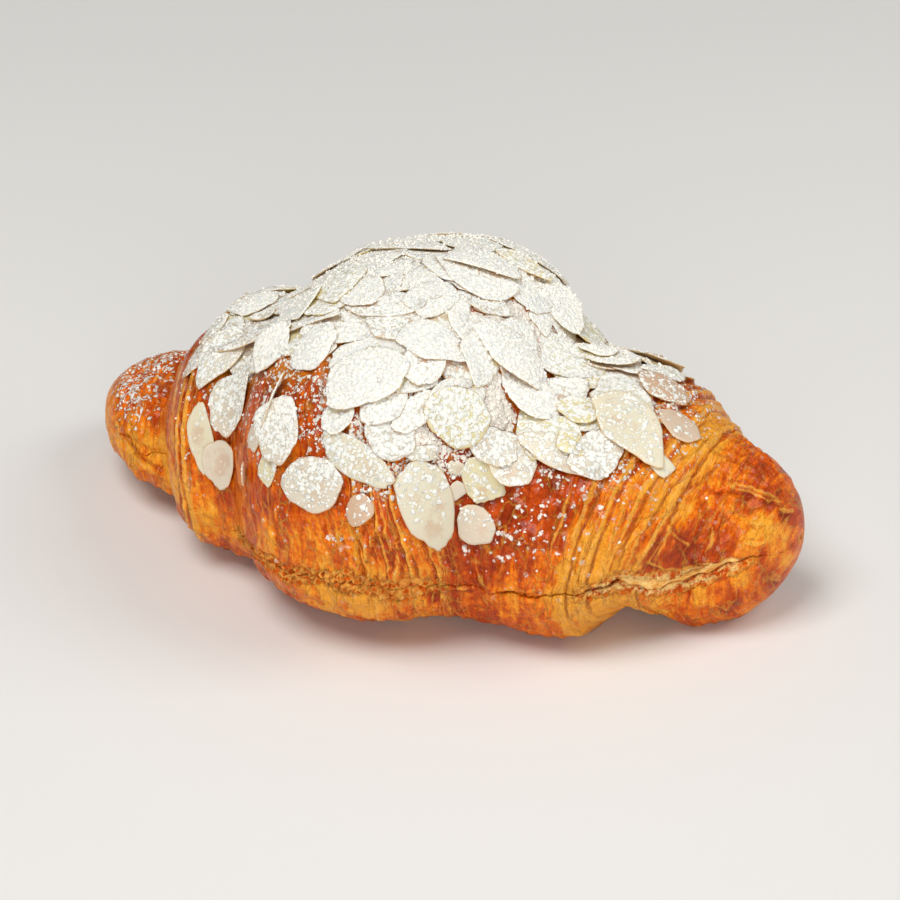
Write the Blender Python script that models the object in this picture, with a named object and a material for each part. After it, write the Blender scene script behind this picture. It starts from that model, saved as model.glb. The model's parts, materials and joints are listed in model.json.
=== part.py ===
"""Almond croissant, in three solids that lie on each other.

The croissant was sliced along its length, spread with almond cream, closed, heaped with sliced
almonds and baked again.  From the plate up: croissant_base, almond_filling, croissant_top, with
the sliced almonds fused to the top crust.

Metres.  +X runs along the croissant to its blunt tip, -Y is the front, +Z is up, and the origin
is under the middle, on the plate.
"""
import math
import random
from dataclasses import dataclass

import bmesh
import bpy
import numpy as np
from mathutils import Matrix, Vector, noise

# ---- driving dimensions -----------------------------------------------------------------------
HALF_LENGTH = 0.091        # middle to either tip
AXIS_Y = 0.0006            # the middle of the croissant, fore and aft
BOW = 0.011                # how far both tips bend to the back
SPINE_HEIGHT = 0.020       # of both tips' ends above the plate
SPINE_HEIGHT_LEFT = 0.0165
SPINE_FALL_FROM = -0.038   # it sinks to the slim left tip between these two stations
SPINE_FALL_TO = -0.008
FIT_GAP = 0.0003           # between two solids that lie on each other

TOP_ROUNDNESS = 2.15       # exponents of the cross-section, above and below its widest line
UNDERSIDE_ROUNDNESS = 2.7
WIDEST_AT = 0.42           # share of the height at which the section is widest
ROLL_BLEND = 14            # how sharply one roll of dough meets the next
ROLL_STRETCH = 0.006       # a roll is this much longer at its top than at its sides
UNDERSIDE_SINK = 0.002     # round undersides dip this far below the plate, then are cut flat
LEFT_TIP_LIFT = 0.003      # the left tip stands clear of the plate
NOTCH_STATION = 0.0599     # the underside stands clear where the last wrap meets the blunt tip
NOTCH_HALF_WIDTH = 0.0063
NOTCH_HEIGHT = 0.0068

CRACK_HALF = 0.0005        # half of the gap between the crusts, at their rims
CREAM_HALF = 0.0012        # half of the cream's thickness, inside
CREAM_HALF_SHOWING = 0.0017
CREAM_SHOWS_FROM = 0.058   # the cream comes out of the cut between these two stations
CREAM_SHOWS_TO = 0.082
CREAM_REACH = 0.90         # share of the cut's width that the cream fills elsewhere
CREAM_REACH_SHOWING = 1.015
CREAM_END_MARGIN = 0.006   # bare crust between the cream's ends and the tips
CREAM_HALF_LEAST = 0.00012
CREAM_EDGE_ROUNDING = 0.4

PILE_HEIGHT = 0.0030       # baked-on almond cream under the almonds
PILE_FROM = -0.050
PILE_TO = 0.056

FLAKE_SIDES = 8
FLAKE_THICKNESS = 0.0013
FLAKE_LENGTH = 0.0225
FLAKE_WIDTH = 0.0135
FLAKE_SEED = 11

RINGS_ALONG = 36           # besides the pair of rings at each ply edge
SEGMENTS_OVER_TOP = 22
SEGMENTS_UNDER_BASE = 16
SEGMENTS_ACROSS_CUT = 5

CRUST = (0.50, 0.20, 0.045)
UNDER_CRUST = (0.58, 0.28, 0.075)
CREAM = (0.86, 0.68, 0.36)


@dataclass(frozen=True)
class Roll:
    """One turn of the rolled dough: a blunt pill along X."""
    start: float
    end: float
    front: float
    back: float
    height: float
    bluntness: float
    lift: float = -UNDERSIDE_SINK


ROLLS = (
    Roll(-HALF_LENGTH, -0.0187, 0.0215, 0.0262, 0.0292, 2.5, LEFT_TIP_LIFT),
    Roll(-0.0635, -0.0069, 0.0352, 0.0300, 0.0494, 3.4),
    Roll(-0.0393, 0.0371, 0.0529, 0.0523, 0.0686, 2.54),
    Roll(0.0025, 0.0752, 0.0380, 0.0375, 0.0493, 2.56),
    Roll(0.0383, HALF_LENGTH, 0.0197, 0.0170, 0.0410, 2.6),
)


# The knife cut wanders up and down along the croissant: (x, height).
CUT = ((-HALF_LENGTH, 0.0170), (-0.078, 0.0195), (-0.068, 0.0168), (-0.051, 0.0200),
       (-0.034, 0.0148), (-0.015, 0.0195), (0.010, 0.0212), (0.036, 0.0175),
       (0.061, 0.0213), (0.0695, 0.0162), (0.085, 0.0235), (HALF_LENGTH, 0.0205))


@dataclass(frozen=True)
class PlyEdge:
    """An edge of baked dough that stands proud and falls towards +X (1) or -X (-1)."""
    station: float
    falls: int
    depth: float


PLY_REACH = 0.0045         # how far behind its edge a ply has sunk back to the surface
PLY_EDGES = (
    PlyEdge(-0.0475, -1, 0.0014),
    PlyEdge(-0.0445, -1, 0.0020),
    PlyEdge(0.0115, -1, 0.0012),
    PlyEdge(0.0155, -1, 0.0012),
    PlyEdge(0.0195, -1, 0.0012),
    PlyEdge(0.0240, -1, 0.0014),
    PlyEdge(0.0510, 1, 0.0013),
    PlyEdge(0.0550, 1, 0.0013),
    PlyEdge(0.0590, 1, 0.0013),
    PlyEdge(0.0635, 1, 0.0018),
    PlyEdge(0.0765, 1, 0.0013),
    PlyEdge(0.0810, 1, 0.0010),
)

# Ply edges lean outwards on their way up the front: (station at the foot, lean at the top).
LEAN = ((-HALF_LENGTH, 0.0), (-0.0445, -0.008), (0.012, -0.014), (0.024, -0.012),
        (0.038, 0.0), (0.051, 0.004), (0.064, 0.007), (0.078, 0.001), (HALF_LENGTH, 0.0))
LEAN_PAST_TOP = 0.35       # the edges go on leaning down the back, by this share


@dataclass(frozen=True)
class Crease:
    """A furrow that runs along a tip, at an angle round the section."""
    start: float
    end: float
    angle: float
    depth: float


CREASE_WIDTH = 0.13        # radians
CREASE_FADE = 0.006
CREASES = (
    Crease(0.0745, 0.0905, math.radians(62.0), 0.0030),
    Crease(-0.086, -0.052, math.radians(12.0), 0.0012),
)


# ---- the croissant's skin ---------------------------------------------------------------------
def ease(value, start, end):
    """0 before start, 1 after end, and smooth between."""
    share = np.clip((value - start) / (end - start), 0.0, 1.0)
    return share * share * (3.0 - 2.0 * share)


def spine_height(x):
    """Height of the line on which both tips end."""
    rise = SPINE_HEIGHT - SPINE_HEIGHT_LEFT
    return SPINE_HEIGHT_LEFT + rise * ease(x, SPINE_FALL_FROM, SPINE_FALL_TO)


def tip_fade(x):
    """0 at both tips, 1 along the middle."""
    return 1.0 - (np.abs(x) / HALF_LENGTH) ** 8


def cut_height(x):
    """Height of the knife cut."""
    height = np.full_like(x, CUT[0][1])
    for (start, low), (end, high) in zip(CUT, CUT[1:]):
        height = height + (high - low) * ease(x, start, end)
    return spine_height(x) + (height - spine_height(x)) * tip_fade(x)


def blend(values):
    """The largest of several values, with a soft corner where two of them meet."""
    return np.sum(np.array(values) ** ROLL_BLEND, axis=0) ** (1.0 / ROLL_BLEND)


def section(x, angle):
    """Front and back reach, top and underside of the croissant at x."""
    spine = spine_height(x)
    fronts, backs, rises, drops = [], [], [], []
    for roll in ROLLS:
        middle = 0.5 * (roll.start + roll.end)
        half = 0.5 * (roll.end - roll.start)
        if abs(middle) < 0.5 * HALF_LENGTH:
            half = half + ROLL_STRETCH * (np.sin(angle) - 0.2)
        along = np.abs(x - middle) / half
        fullness = np.sqrt(np.clip(1.0 - along ** roll.bluntness, 0.0, None))
        fronts.append(fullness * roll.front)
        backs.append(fullness * roll.back)
        rises.append(fullness * (roll.height - spine))
        drops.append(fullness * (spine - roll.lift))
    under = spine - blend(drops)
    notch = np.exp(-((x - NOTCH_STATION) / NOTCH_HALF_WIDTH) ** 2)
    under = under + notch * (NOTCH_HEIGHT - np.minimum(under, 0.0))
    return blend(fronts), blend(backs), spine + blend(rises), under


def lean(station, angle):
    """How far a ply edge has moved along X by an angle round the section."""
    at_top = np.interp(station, [stop[0] for stop in LEAN], [stop[1] for stop in LEAN])
    cosine, sine = np.cos(angle), np.sin(angle)
    down_the_back = 1.0 + LEAN_PAST_TOP * (1.0 - sine)
    underneath = (1.0 + LEAN_PAST_TOP) * 0.5 * (1.0 - cosine)
    return at_top * np.where(sine < 0.0, underneath, np.where(cosine >= 0.0, sine, down_the_back))


def smooth_skin(station, angle):
    """Point of the skin without its plies: angle 0 is the front, 90 degrees the top."""
    x = station + lean(station, angle)
    front, back, top, under = section(x, angle)
    widest = under + WIDEST_AT * (top - under)
    cosine, sine = np.cos(angle), np.sin(angle)
    above = sine >= 0.0
    roundness = np.where(above, TOP_ROUNDNESS, UNDERSIDE_ROUNDNESS)
    reach = np.where(cosine >= 0.0, front, back)
    y = AXIS_Y + BOW * (x / HALF_LENGTH) ** 2
    y = y - reach * np.sign(cosine) * np.abs(cosine) ** (2.0 / roundness)
    swing = np.abs(sine) ** (2.0 / roundness)
    z = np.where(above, widest + (top - widest) * swing, widest - (widest - under) * swing)
    return np.stack([x + 0.0 * y, y, z], axis=-1)


def skin_normal(station, angle):
    """Outward direction of the smooth skin."""
    step = 1e-4  # metres and radians
    along = smooth_skin(station + step, angle) - smooth_skin(station - step, angle)
    round_it = smooth_skin(station, angle + step) - smooth_skin(station, angle - step)
    normal = np.cross(along, round_it)
    length = np.maximum(np.linalg.norm(normal, axis=-1, keepdims=True), 1e-12)
    return normal / length


def station_at(x, angle):
    """The station whose ring passes a place along X, at an angle round the section."""
    candidates = np.linspace(-HALF_LENGTH, HALF_LENGTH, 400)
    return np.array([np.interp(x, candidates + lean(candidates, turn), candidates) for turn in angle])


def relief(station, angle):
    """Height of plies, creases and the baked-on cream over the smooth skin."""
    height = np.zeros(np.broadcast(station, angle).shape)
    for edge in PLY_EDGES:
        behind = (edge.station - station) * edge.falls
        ply = edge.depth * np.exp(-np.clip(behind, 0.0, None) / PLY_REACH)
        height = height + np.where(behind >= -1e-7, ply, 0.0)
    for crease in CREASES:
        window = ease(station, crease.start - CREASE_FADE, crease.start)
        window = window * (1.0 - ease(station, crease.end, crease.end + CREASE_FADE))
        furrow = np.exp(-((angle - crease.angle) / CREASE_WIDTH) ** 2)
        height = height - crease.depth * window * furrow
    pile = ease(station, PILE_FROM, PILE_FROM + 0.014) * (1.0 - ease(station, PILE_TO - 0.014, PILE_TO))
    pile = pile * ease(np.sin(angle), 0.45, 0.85)
    return (height + PILE_HEIGHT * pile) * tip_fade(station)


def lumps(points):
    """Uneven swelling of the baked dough, in metres, for a grid of points."""
    swelling = np.zeros(points.shape[:-1])
    for index in np.ndindex(swelling.shape):
        place = Vector(points[index])
        swelling[index] = 0.0009 * noise.noise(place / 0.018) + 0.0005 * noise.noise(place / 0.007)
    return swelling * tip_fade(points[..., 0])


def crust_skin(station, angle):
    """Point of the finished skin."""
    points = smooth_skin(station, angle)
    rise = relief(station, angle) + lumps(points)
    across = skin_normal(station, angle) * (0.0, 1.0, 1.0)  # ply edges must not slide over each other
    return points + across * rise[..., None]


def angle_at_height(station, height, low, high):
    """Angle round the section at which the smooth skin passes a height, by halving."""
    low = np.full_like(station, low)
    high = np.full_like(station, high)
    rising = smooth_skin(station, high)[..., 2] > smooth_skin(station, low)[..., 2]
    for _ in range(40):
        middle = 0.5 * (low + high)
        below = smooth_skin(station, middle)[..., 2] < height
        go_up = below == rising
        low = np.where(go_up, middle, low)
        high = np.where(go_up, high, middle)
    return 0.5 * (low + high)


def even_stations():
    """Where rings of vertices stand along X, closer together at the tips."""
    outermost = 0.9985 * HALF_LENGTH
    turns = np.linspace(0.0, math.pi, RINGS_ALONG + 1)
    return outermost * (0.45 * (2.0 * turns / math.pi - 1.0) - 0.55 * np.cos(turns))


def crust_stations():
    """The same, with a pair of rings at every ply edge."""
    edges = [edge.station for edge in PLY_EDGES]
    places = [place for place in even_stations() if min(abs(place - edge) for edge in edges) > 0.0012]
    for edge in PLY_EDGES:
        places += [edge.station, edge.station + 0.0004 * edge.falls]
    return np.array(sorted(places))


# ---- the cut and the cream in it --------------------------------------------------------------
def cream_shows(x):
    """1 where the cream comes out of the cut at the front right, 0 elsewhere."""
    inner = ease(x, CREAM_SHOWS_FROM - 0.004, CREAM_SHOWS_FROM + 0.004)
    return inner * (1.0 - ease(x, CREAM_SHOWS_TO - 0.004, CREAM_SHOWS_TO + 0.004))


def cut_half(x, across):
    """Half of the opening between the crusts: across runs from -1, the front rim, to 1."""
    rim = CRACK_HALF + (CREAM_HALF_SHOWING - CRACK_HALF) * cream_shows(x) * (across < 0.0)
    inside = 1.0 - ease(np.abs(across), 0.86, 0.99)
    half = rim + (CREAM_HALF - rim) * inside * (1.0 - cream_shows(x) * (across < 0.0))
    return half * tip_fade(x) + 0.5 * FIT_GAP


def cut_face(front_rim, back_rim, side):
    """Rows of points across the cut, from the back rim to the front one.  side is 1 above it."""
    rows = []
    for share in np.linspace(1.0, 0.0, SEGMENTS_ACROSS_CUT + 1)[1:-1]:
        row = front_rim * (1.0 - share) + back_rim * share
        half = cut_half(row[:, 0], 2.0 * share - 1.0)
        row[:, 2] = cut_height(row[:, 0]) + side * half
        rows.append(row)
    return rows


def closed_grid(name, rows, material):
    """A closed solid from rings: rows[i][j] is point i of ring j, and both end rings get a pole."""
    grid = np.array(rows)
    points_per_ring, rings = grid.shape[:2]
    mesh = bmesh.new()
    vertices = [[mesh.verts.new(grid[i, j]) for i in range(points_per_ring)] for j in range(rings)]
    for j in range(rings - 1):
        for i in range(points_per_ring):
            after = (i + 1) % points_per_ring
            near, far = vertices[j], vertices[j + 1]
            mesh.faces.new((near[i], near[after], far[after], far[i]))
    for ring, order in ((vertices[0], -1), (vertices[-1], 1)):
        middle = sum((vertex.co for vertex in ring), Vector()) / points_per_ring
        pole = mesh.verts.new(middle)
        for i in range(points_per_ring):
            pair = (ring[i], ring[(i + 1) % points_per_ring])[::order]
            mesh.faces.new((pair[0], pair[1], pole))
    bmesh.ops.triangulate(mesh, faces=mesh.faces[:])
    bmesh.ops.recalc_face_normals(mesh, faces=mesh.faces[:])
    if mesh.calc_volume(signed=True) < 0.0:
        bmesh.ops.reverse_faces(mesh, faces=mesh.faces[:])
    return add_object(name, mesh, material)


def add_object(name, mesh, material):
    """An object of the scene from a bmesh, in one material."""
    data = bpy.data.meshes.new(name)
    mesh.to_mesh(data)
    mesh.free()
    data.materials.append(material)
    result = bpy.data.objects.new(name, data)
    bpy.context.scene.collection.objects.link(result)
    return result


def outer_rows(places, front_angle, back_angle, segments, side):
    """Rows of the skin from one rim of the cut to the other, kept on their own side of it."""
    rows = []
    for share in np.linspace(0.0, 1.0, segments + 1):
        angle = front_angle + share * (back_angle - front_angle)
        row = crust_skin(places, angle)
        across = -1.0 if share < 0.5 else 1.0
        limit = cut_height(row[:, 0]) + side * cut_half(row[:, 0], across)
        if share in (0.0, 1.0):
            row[:, 2] = limit
        elif side > 0:
            row[:, 2] = np.maximum(row[:, 2], limit + 0.0001)
        else:
            row[:, 2] = np.clip(row[:, 2], 0.0, limit - 0.0001)
        rows.append(row)
    return rows


def rim_angles(places, side):
    """Angles of the front and back rim of one crust.  side is 1 over the cut, -1 under it, 0 in it."""
    front = angle_at_height(places, cut_height(places) + side * cut_half(places, -1.0), -1.45, 1.0)
    back = angle_at_height(places, cut_height(places) + side * cut_half(places, 1.0),
                           math.pi + 1.45, math.pi - 1.0)
    return front, back


def make_top_crust(places, material):
    """The upper crust: skin over the top, closed by the cut's upper face."""
    front, back = rim_angles(places, 1)
    rows = outer_rows(places, front, back, SEGMENTS_OVER_TOP, 1)
    return closed_grid("croissant_top", rows + cut_face(rows[0], rows[-1], 1), material)


def make_base(places, material):
    """The lower slice, flat where it lies on the plate."""
    front, back = rim_angles(places, -1)
    rows = outer_rows(places, front, back - 2.0 * math.pi, SEGMENTS_UNDER_BASE, -1)
    return closed_grid("croissant_base", rows + cut_face(rows[0], rows[-1], -1), material)


def make_filling(places, material):
    """The almond cream between the crusts, out to the rim only where it shows."""
    inside = places[np.abs(places) < HALF_LENGTH - CREAM_END_MARGIN]
    front_angle, back_angle = rim_angles(inside, 0)
    front, back = crust_skin(inside, front_angle), crust_skin(inside, back_angle)
    middle = 0.5 * (front + back)
    front_reach = CREAM_REACH + (CREAM_REACH_SHOWING - CREAM_REACH) * cream_shows(front[:, 0])
    back_reach = np.full_like(front_reach, CREAM_REACH)
    upper, lower = [], []
    for across in np.linspace(-1.0, 1.0, SEGMENTS_ACROSS_CUT + 2):
        edge, reach = (front, front_reach) if across < 0.0 else (back, back_reach)
        row = middle + (edge - middle) * (abs(across) * reach)[:, None]
        rounded = CREAM_EDGE_ROUNDING if abs(across) == 1.0 else 1.0
        half = np.maximum(rounded * (cut_half(row[:, 0], across) - 1.5 * FIT_GAP), CREAM_HALF_LEAST)
        for side, rows in ((1, upper), (-1, lower)):
            face = row.copy()
            face[:, 2] = cut_height(row[:, 0]) + side * half
            rows.append(face)
    return closed_grid("almond_filling", upper + lower[::-1], material)


# ---- sliced almonds ---------------------------------------------------------------------------
@dataclass(frozen=True)
class Flake:
    """One sliced almond: where its middle lies, which way it points and how it sits."""
    x: float
    angle: float           # round the section, degrees
    spin: float            # of its pointed end from straight up the slope, degrees, clockwise
    length: float = FLAKE_LENGTH
    width: float = FLAKE_WIDTH
    lift: float = 0.0003
    pitch: float = 0.0     # pointed end up, degrees
    roll: float = 0.0


# The flakes that stand out at the front and right of the heap.
SHOWING_FLAKES = (
    Flake(-0.045, 34, 170, 0.021, 0.0070),
    Flake(-0.044, 62, 15, 0.021, 0.0095),
    Flake(-0.038, 26, 175, 0.014, 0.0080),
    Flake(-0.036, 50, 20, 0.018, 0.0105),
    Flake(-0.030, 62, 30, 0.018, 0.0060, 0.001, 0, 45),
    Flake(-0.020, 42, 8, 0.020, 0.0135),
    Flake(-0.010, 24, 88, 0.019, 0.0135),
    Flake(0.002, 34, 118, 0.022, 0.0100),
    Flake(-0.012, 62, 80, 0.023, 0.0145, 0.001),
    Flake(0.008, 48, 140, 0.015, 0.0120),
    Flake(0.020, 24, 165, 0.026, 0.0145, 0.0008),
    Flake(0.021, 50, 150, 0.021, 0.0175, 0.0012),
    Flake(0.030, 30, 160, 0.017, 0.0100, 0.0008),
    Flake(0.030, 17, 165, 0.012, 0.0100),
    Flake(0.036, 37, 165, 0.016, 0.0120),
    Flake(0.048, 40, 105, 0.023, 0.0090),
    Flake(0.047, 58, 120, 0.014, 0.0120, 0.001),
    Flake(0.058, 50, 165, 0.027, 0.0120, 0.001),
    Flake(0.057, 68, 165, 0.017, 0.0110),
    Flake(0.066, 58, 140, 0.013, 0.0070),
    Flake(0.064, 42, 165, 0.010, 0.0095),
    Flake(0.065, 82, 100, 0.017, 0.0070),
    Flake(0.052, 86, 95, 0.019, 0.0100, 0.003, 20, 12),
    Flake(0.036, 84, 175, 0.020, 0.0145, 0.002, -12, 0),
)

PILE_ROWS = 7
PILE_COLUMNS = 8
PILE_LOWEST = 52.0         # degrees round the section at which the rows start and end
PILE_HIGHEST = 146.0
PILE_MARGIN = 0.006


def pile_flakes():
    """The flakes that heap up over the top and down the back, in staggered rows with jitter."""
    draw = random.Random(FLAKE_SEED)
    start, end = PILE_FROM + PILE_MARGIN, PILE_TO - PILE_MARGIN
    flakes = []
    for row in range(PILE_ROWS):
        for column in range(PILE_COLUMNS):
            share = (column + 0.5 * (row % 2) + draw.uniform(-0.25, 0.25)) / PILE_COLUMNS
            angle = PILE_LOWEST + (PILE_HIGHEST - PILE_LOWEST) * row / (PILE_ROWS - 1)
            angle += draw.uniform(-6.0, 6.0)
            size = draw.uniform(0.8, 1.05)
            heaped = float(ease(math.sin(math.radians(angle)), 0.7, 1.0))
            flakes.append(Flake(
                start + (end - start) * share, angle, draw.uniform(0.0, 360.0),
                FLAKE_LENGTH * size, FLAKE_WIDTH * size * draw.uniform(0.8, 1.1),
                0.0006 + 0.0026 * heaped * draw.random(),
                draw.uniform(-22.0, 22.0) * heaped, draw.uniform(-16.0, 16.0)))
    return flakes


def flake_outline(turn, flake):
    """Outline of a sliced almond: pointed ahead, round behind."""
    ahead = math.cos(turn)
    waist = math.sin(turn) * (1.0 - 0.28 * ahead) * (1.0 - 0.18 * max(ahead, 0.0) ** 4)
    return Vector((0.5 * flake.length * ahead, 0.5 * flake.width * waist, 0.0))


def flake_frame(flake):
    """Matrix that lays a flake on the skin."""
    angle = np.array([math.radians(flake.angle)])
    station = station_at(flake.x, angle)
    place = Vector(crust_skin(station, angle)[0])
    normal = Vector(skin_normal(station, angle)[0])
    uphill = (Vector((0.0, 0.0, 1.0)) - normal * normal.z)
    if uphill.length < 0.15:
        uphill = Vector((0.0, 1.0, 0.0)) - normal * normal.y
    uphill.normalize()
    side = uphill.cross(normal).normalized()
    spin = math.radians(flake.spin)
    ahead = (uphill * math.cos(spin) + side * math.sin(spin)).normalized()
    turn = Matrix((ahead, normal.cross(ahead), normal)).transposed()
    turn = turn @ Matrix.Rotation(-math.radians(flake.pitch), 3, 'Y')
    turn = turn @ Matrix.Rotation(math.radians(flake.roll), 3, 'X')
    return Matrix.Translation(place + normal * flake.lift) @ turn.to_4x4()


def make_flake(number, flake, material):
    """A thin closed plate in the shape of a sliced almond."""
    mesh = bmesh.new()
    turns = [2.0 * math.pi * side / FLAKE_SIDES + 0.07 * number for side in range(FLAKE_SIDES)]
    levels = []
    for height in (-0.5, 0.5):
        ring = [mesh.verts.new(flake_outline(turn, flake) + Vector((0.0, 0.0, height * FLAKE_THICKNESS)))
                for turn in turns]
        levels.append(ring)
    lower, upper = levels
    mesh.faces.new(lower[::-1])
    mesh.faces.new(upper)
    for side in range(FLAKE_SIDES):
        after = (side + 1) % FLAKE_SIDES
        mesh.faces.new((lower[side], lower[after], upper[after], upper[side]))
    bmesh.ops.triangulate(mesh, faces=mesh.faces[:])
    mesh.transform(flake_frame(flake))
    return add_object(f"flake_{number:03d}", mesh, material)


def keep_largest_piece(target):
    """Drop loose scraps and sealed hollows that a union leaves: only the largest shell stays."""
    mesh = bmesh.new()
    mesh.from_mesh(target.data)
    waiting = set(mesh.faces)
    shells = []
    while waiting:
        shell = [waiting.pop()]
        for face in shell:
            for edge in face.edges:
                for neighbour in edge.link_faces:
                    if neighbour in waiting:
                        waiting.remove(neighbour)
                        shell.append(neighbour)
        shells.append(shell)
    shells.sort(key=len)
    scraps = [face for shell in shells[:-1] for face in shell]
    bmesh.ops.delete(mesh, geom=scraps, context='FACES')
    bmesh.ops.triangulate(mesh, faces=mesh.faces[:])
    mesh.to_mesh(target.data)
    mesh.free()


def fuse_flakes(target, flakes):
    """One union of the crust with all its flakes."""
    group = bpy.data.collections.new("flakes")
    bpy.context.scene.collection.children.link(group)
    for flake in flakes:
        bpy.context.scene.collection.objects.unlink(flake)
        group.objects.link(flake)
    union = target.modifiers.new("fused almonds", 'BOOLEAN')
    union.operation = 'UNION'
    union.operand_type = 'COLLECTION'
    union.solver = 'EXACT'
    union.collection = group
    bpy.context.view_layer.update()
    evaluated = target.evaluated_get(bpy.context.evaluated_depsgraph_get())
    fused = bpy.data.meshes.new_from_object(evaluated)
    target.modifiers.clear()
    target.data = fused
    for flake in flakes:
        bpy.data.objects.remove(flake)
    bpy.data.collections.remove(group)
    keep_largest_piece(target)


# ---- assembly ---------------------------------------------------------------------------------
def make_material(name, colour, roughness):
    """A plain Principled material."""
    material = bpy.data.materials.new(name)
    material.use_nodes = True
    shader = material.node_tree.nodes["Principled BSDF"]
    shader.inputs["Base Color"].default_value = (*colour, 1.0)
    shader.inputs["Roughness"].default_value = roughness
    shader.inputs["Metallic"].default_value = 0.0
    return material


def main():
    """Clear the scene and build the three solids."""
    for old in list(bpy.data.objects):
        bpy.data.objects.remove(old)
    places = crust_stations()
    make_base(places, make_material("baked base", UNDER_CRUST, 0.55))
    make_filling(places, make_material("almond cream", CREAM, 0.6))
    top = make_top_crust(places, make_material("baked crust", CRUST, 0.42))
    almonds = list(SHOWING_FLAKES) + pile_flakes()
    flakes = [make_flake(number, flake, top.data.materials[0]) for number, flake in enumerate(almonds)]
    fuse_flakes(top, flakes)


main()
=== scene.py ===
"""Looks of the almond croissant: crusts, almond cream, sliced almonds and sugar.

The croissant was sliced along its length, filled with almond cream, closed, heaped with sliced
almonds, baked again and dusted with sugar.  Everything is in metres, in the frame of the solids:
+X along the croissant to its blunt tip, -Y its front, +Z up.
"""
from __future__ import annotations

import json
import logging
import math
import random
from dataclasses import dataclass, field
from enum import Enum
from typing import Any, Sequence, Union

import bpy
import numpy as np
from bpy.types import ID, Material, Mesh, Node, NodeSocket, NodeTree, Object
from mathutils import Matrix, Vector, noise
from mathutils.bvhtree import BVHTree

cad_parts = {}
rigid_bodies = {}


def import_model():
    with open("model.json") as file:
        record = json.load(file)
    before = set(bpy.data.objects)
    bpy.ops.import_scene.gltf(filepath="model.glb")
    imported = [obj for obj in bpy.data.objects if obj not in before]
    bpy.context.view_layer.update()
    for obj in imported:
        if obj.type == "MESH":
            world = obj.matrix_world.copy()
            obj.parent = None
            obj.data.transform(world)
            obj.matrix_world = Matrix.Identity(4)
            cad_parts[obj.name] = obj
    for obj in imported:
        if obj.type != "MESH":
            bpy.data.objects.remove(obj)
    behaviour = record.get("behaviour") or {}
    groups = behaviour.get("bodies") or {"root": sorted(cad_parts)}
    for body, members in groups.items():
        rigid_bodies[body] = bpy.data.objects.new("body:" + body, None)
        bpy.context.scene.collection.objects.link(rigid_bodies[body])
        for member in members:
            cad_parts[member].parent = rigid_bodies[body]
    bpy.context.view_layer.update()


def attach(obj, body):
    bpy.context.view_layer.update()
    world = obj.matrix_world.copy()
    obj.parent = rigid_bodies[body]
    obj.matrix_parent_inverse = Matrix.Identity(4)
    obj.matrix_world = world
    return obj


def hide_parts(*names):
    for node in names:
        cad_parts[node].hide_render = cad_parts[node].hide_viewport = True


LOG = logging.getLogger("almond croissant")
Array = np.ndarray
Colour = tuple[float, float, float]
Span = tuple[float, float, float, float]
MM = 0.001
HALF_LENGTH = 0.091


# ---- small helpers ----
def ease(value: Array | float, start: float, end: float) -> Any:
    """Smooth step: 0 before start, 1 after end, and a smooth share between."""
    share = np.clip((value - start) / (end - start), 0.0, 1.0)
    return share * share * (3.0 - 2.0 * share)


def window(value: Array | float, start: float, full: float, fading: float, end: float) -> Any:
    """1 from full to fading, 0 before start and after end, smooth between."""
    return ease(value, start, full) * (1.0 - ease(value, fading, end))


def noise_field(points: Array, size: float | Sequence[float], shift: float = 0.0) -> Array:
    """Gradient noise, about -1 to 1, at points with x, y, z on the last axis, in lumps of a size."""
    flat = (points.reshape(-1, 3) / np.asarray(size) + shift).tolist()
    return np.array([noise.noise(place) for place in flat]).reshape(points.shape[:-1])


def cell_field(points: Array, size: float | Sequence[float], shift: float = 0.0) -> tuple[Array, Array]:
    """Cell noise at many points.

    Args:
        points: Places, with x, y, z on the last axis.
        size: Size of a cell, one number or one for each axis.
        shift: Moves the pattern.

    Returns:
        The distance to the cell's border, 0 on it, and one random number between 0 and 1 a cell.
    """
    flat = (points.reshape(-1, 3) / np.asarray(size) + shift).tolist()
    borders, tones = [], []
    for place in flat:
        distances, centres = noise.voronoi(place)
        borders.append(distances[1] - distances[0])
        centre = centres[0]
        tones.append((centre[0] * 12.9898 + centre[1] * 78.233 + centre[2] * 37.719) % 1.0)
    shape = points.shape[:-1]
    return np.array(borders).reshape(shape), np.array(tones).reshape(shape)


def unit(vectors: Array) -> Array:
    """Vectors of length 1 along the last axis."""
    return vectors / np.maximum(np.linalg.norm(vectors, axis=-1, keepdims=True), 1e-12)


def add_attribute(mesh: Mesh, name: str, values: Array) -> None:
    """Store one number, or one vector, for each vertex, under a name that the node trees read."""
    layer = mesh.attributes.new(name, 'FLOAT_VECTOR' if values.ndim == 2 else 'FLOAT', 'POINT')
    layer.data.foreach_set("vector" if values.ndim == 2 else "value", values.astype(np.float32).ravel())


def read_values(data: Any, name: str, width: int) -> Array:
    """What Blender stores for each vertex.

    Args:
        data: The vertices, or the data of an attribute.
        name: Name of the value in it.
        width: How many numbers each value has.

    Returns:
        One row of numbers for each vertex.
    """
    values = np.empty(len(data) * width, dtype=np.float32)
    data.foreach_get(name, values)
    return values.reshape(-1, width).astype(float)


def read_attribute(mesh: Mesh, name: str, width: int) -> Array:
    """An attribute of a mesh, one row for each vertex."""
    return read_values(mesh.attributes[name].data, "vector" if width == 3 else "value", width)


def mesh_points(mesh: Mesh) -> Array:
    """Vertex places of a mesh, one row each."""
    return read_values(mesh.vertices, "co", 3)


def tree_of(mesh: Mesh) -> BVHTree:
    """A search tree of a mesh's faces."""
    return BVHTree.FromPolygons([tuple(p) for p in mesh_points(mesh)],
                                [tuple(face.vertices) for face in mesh.polygons])


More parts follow.
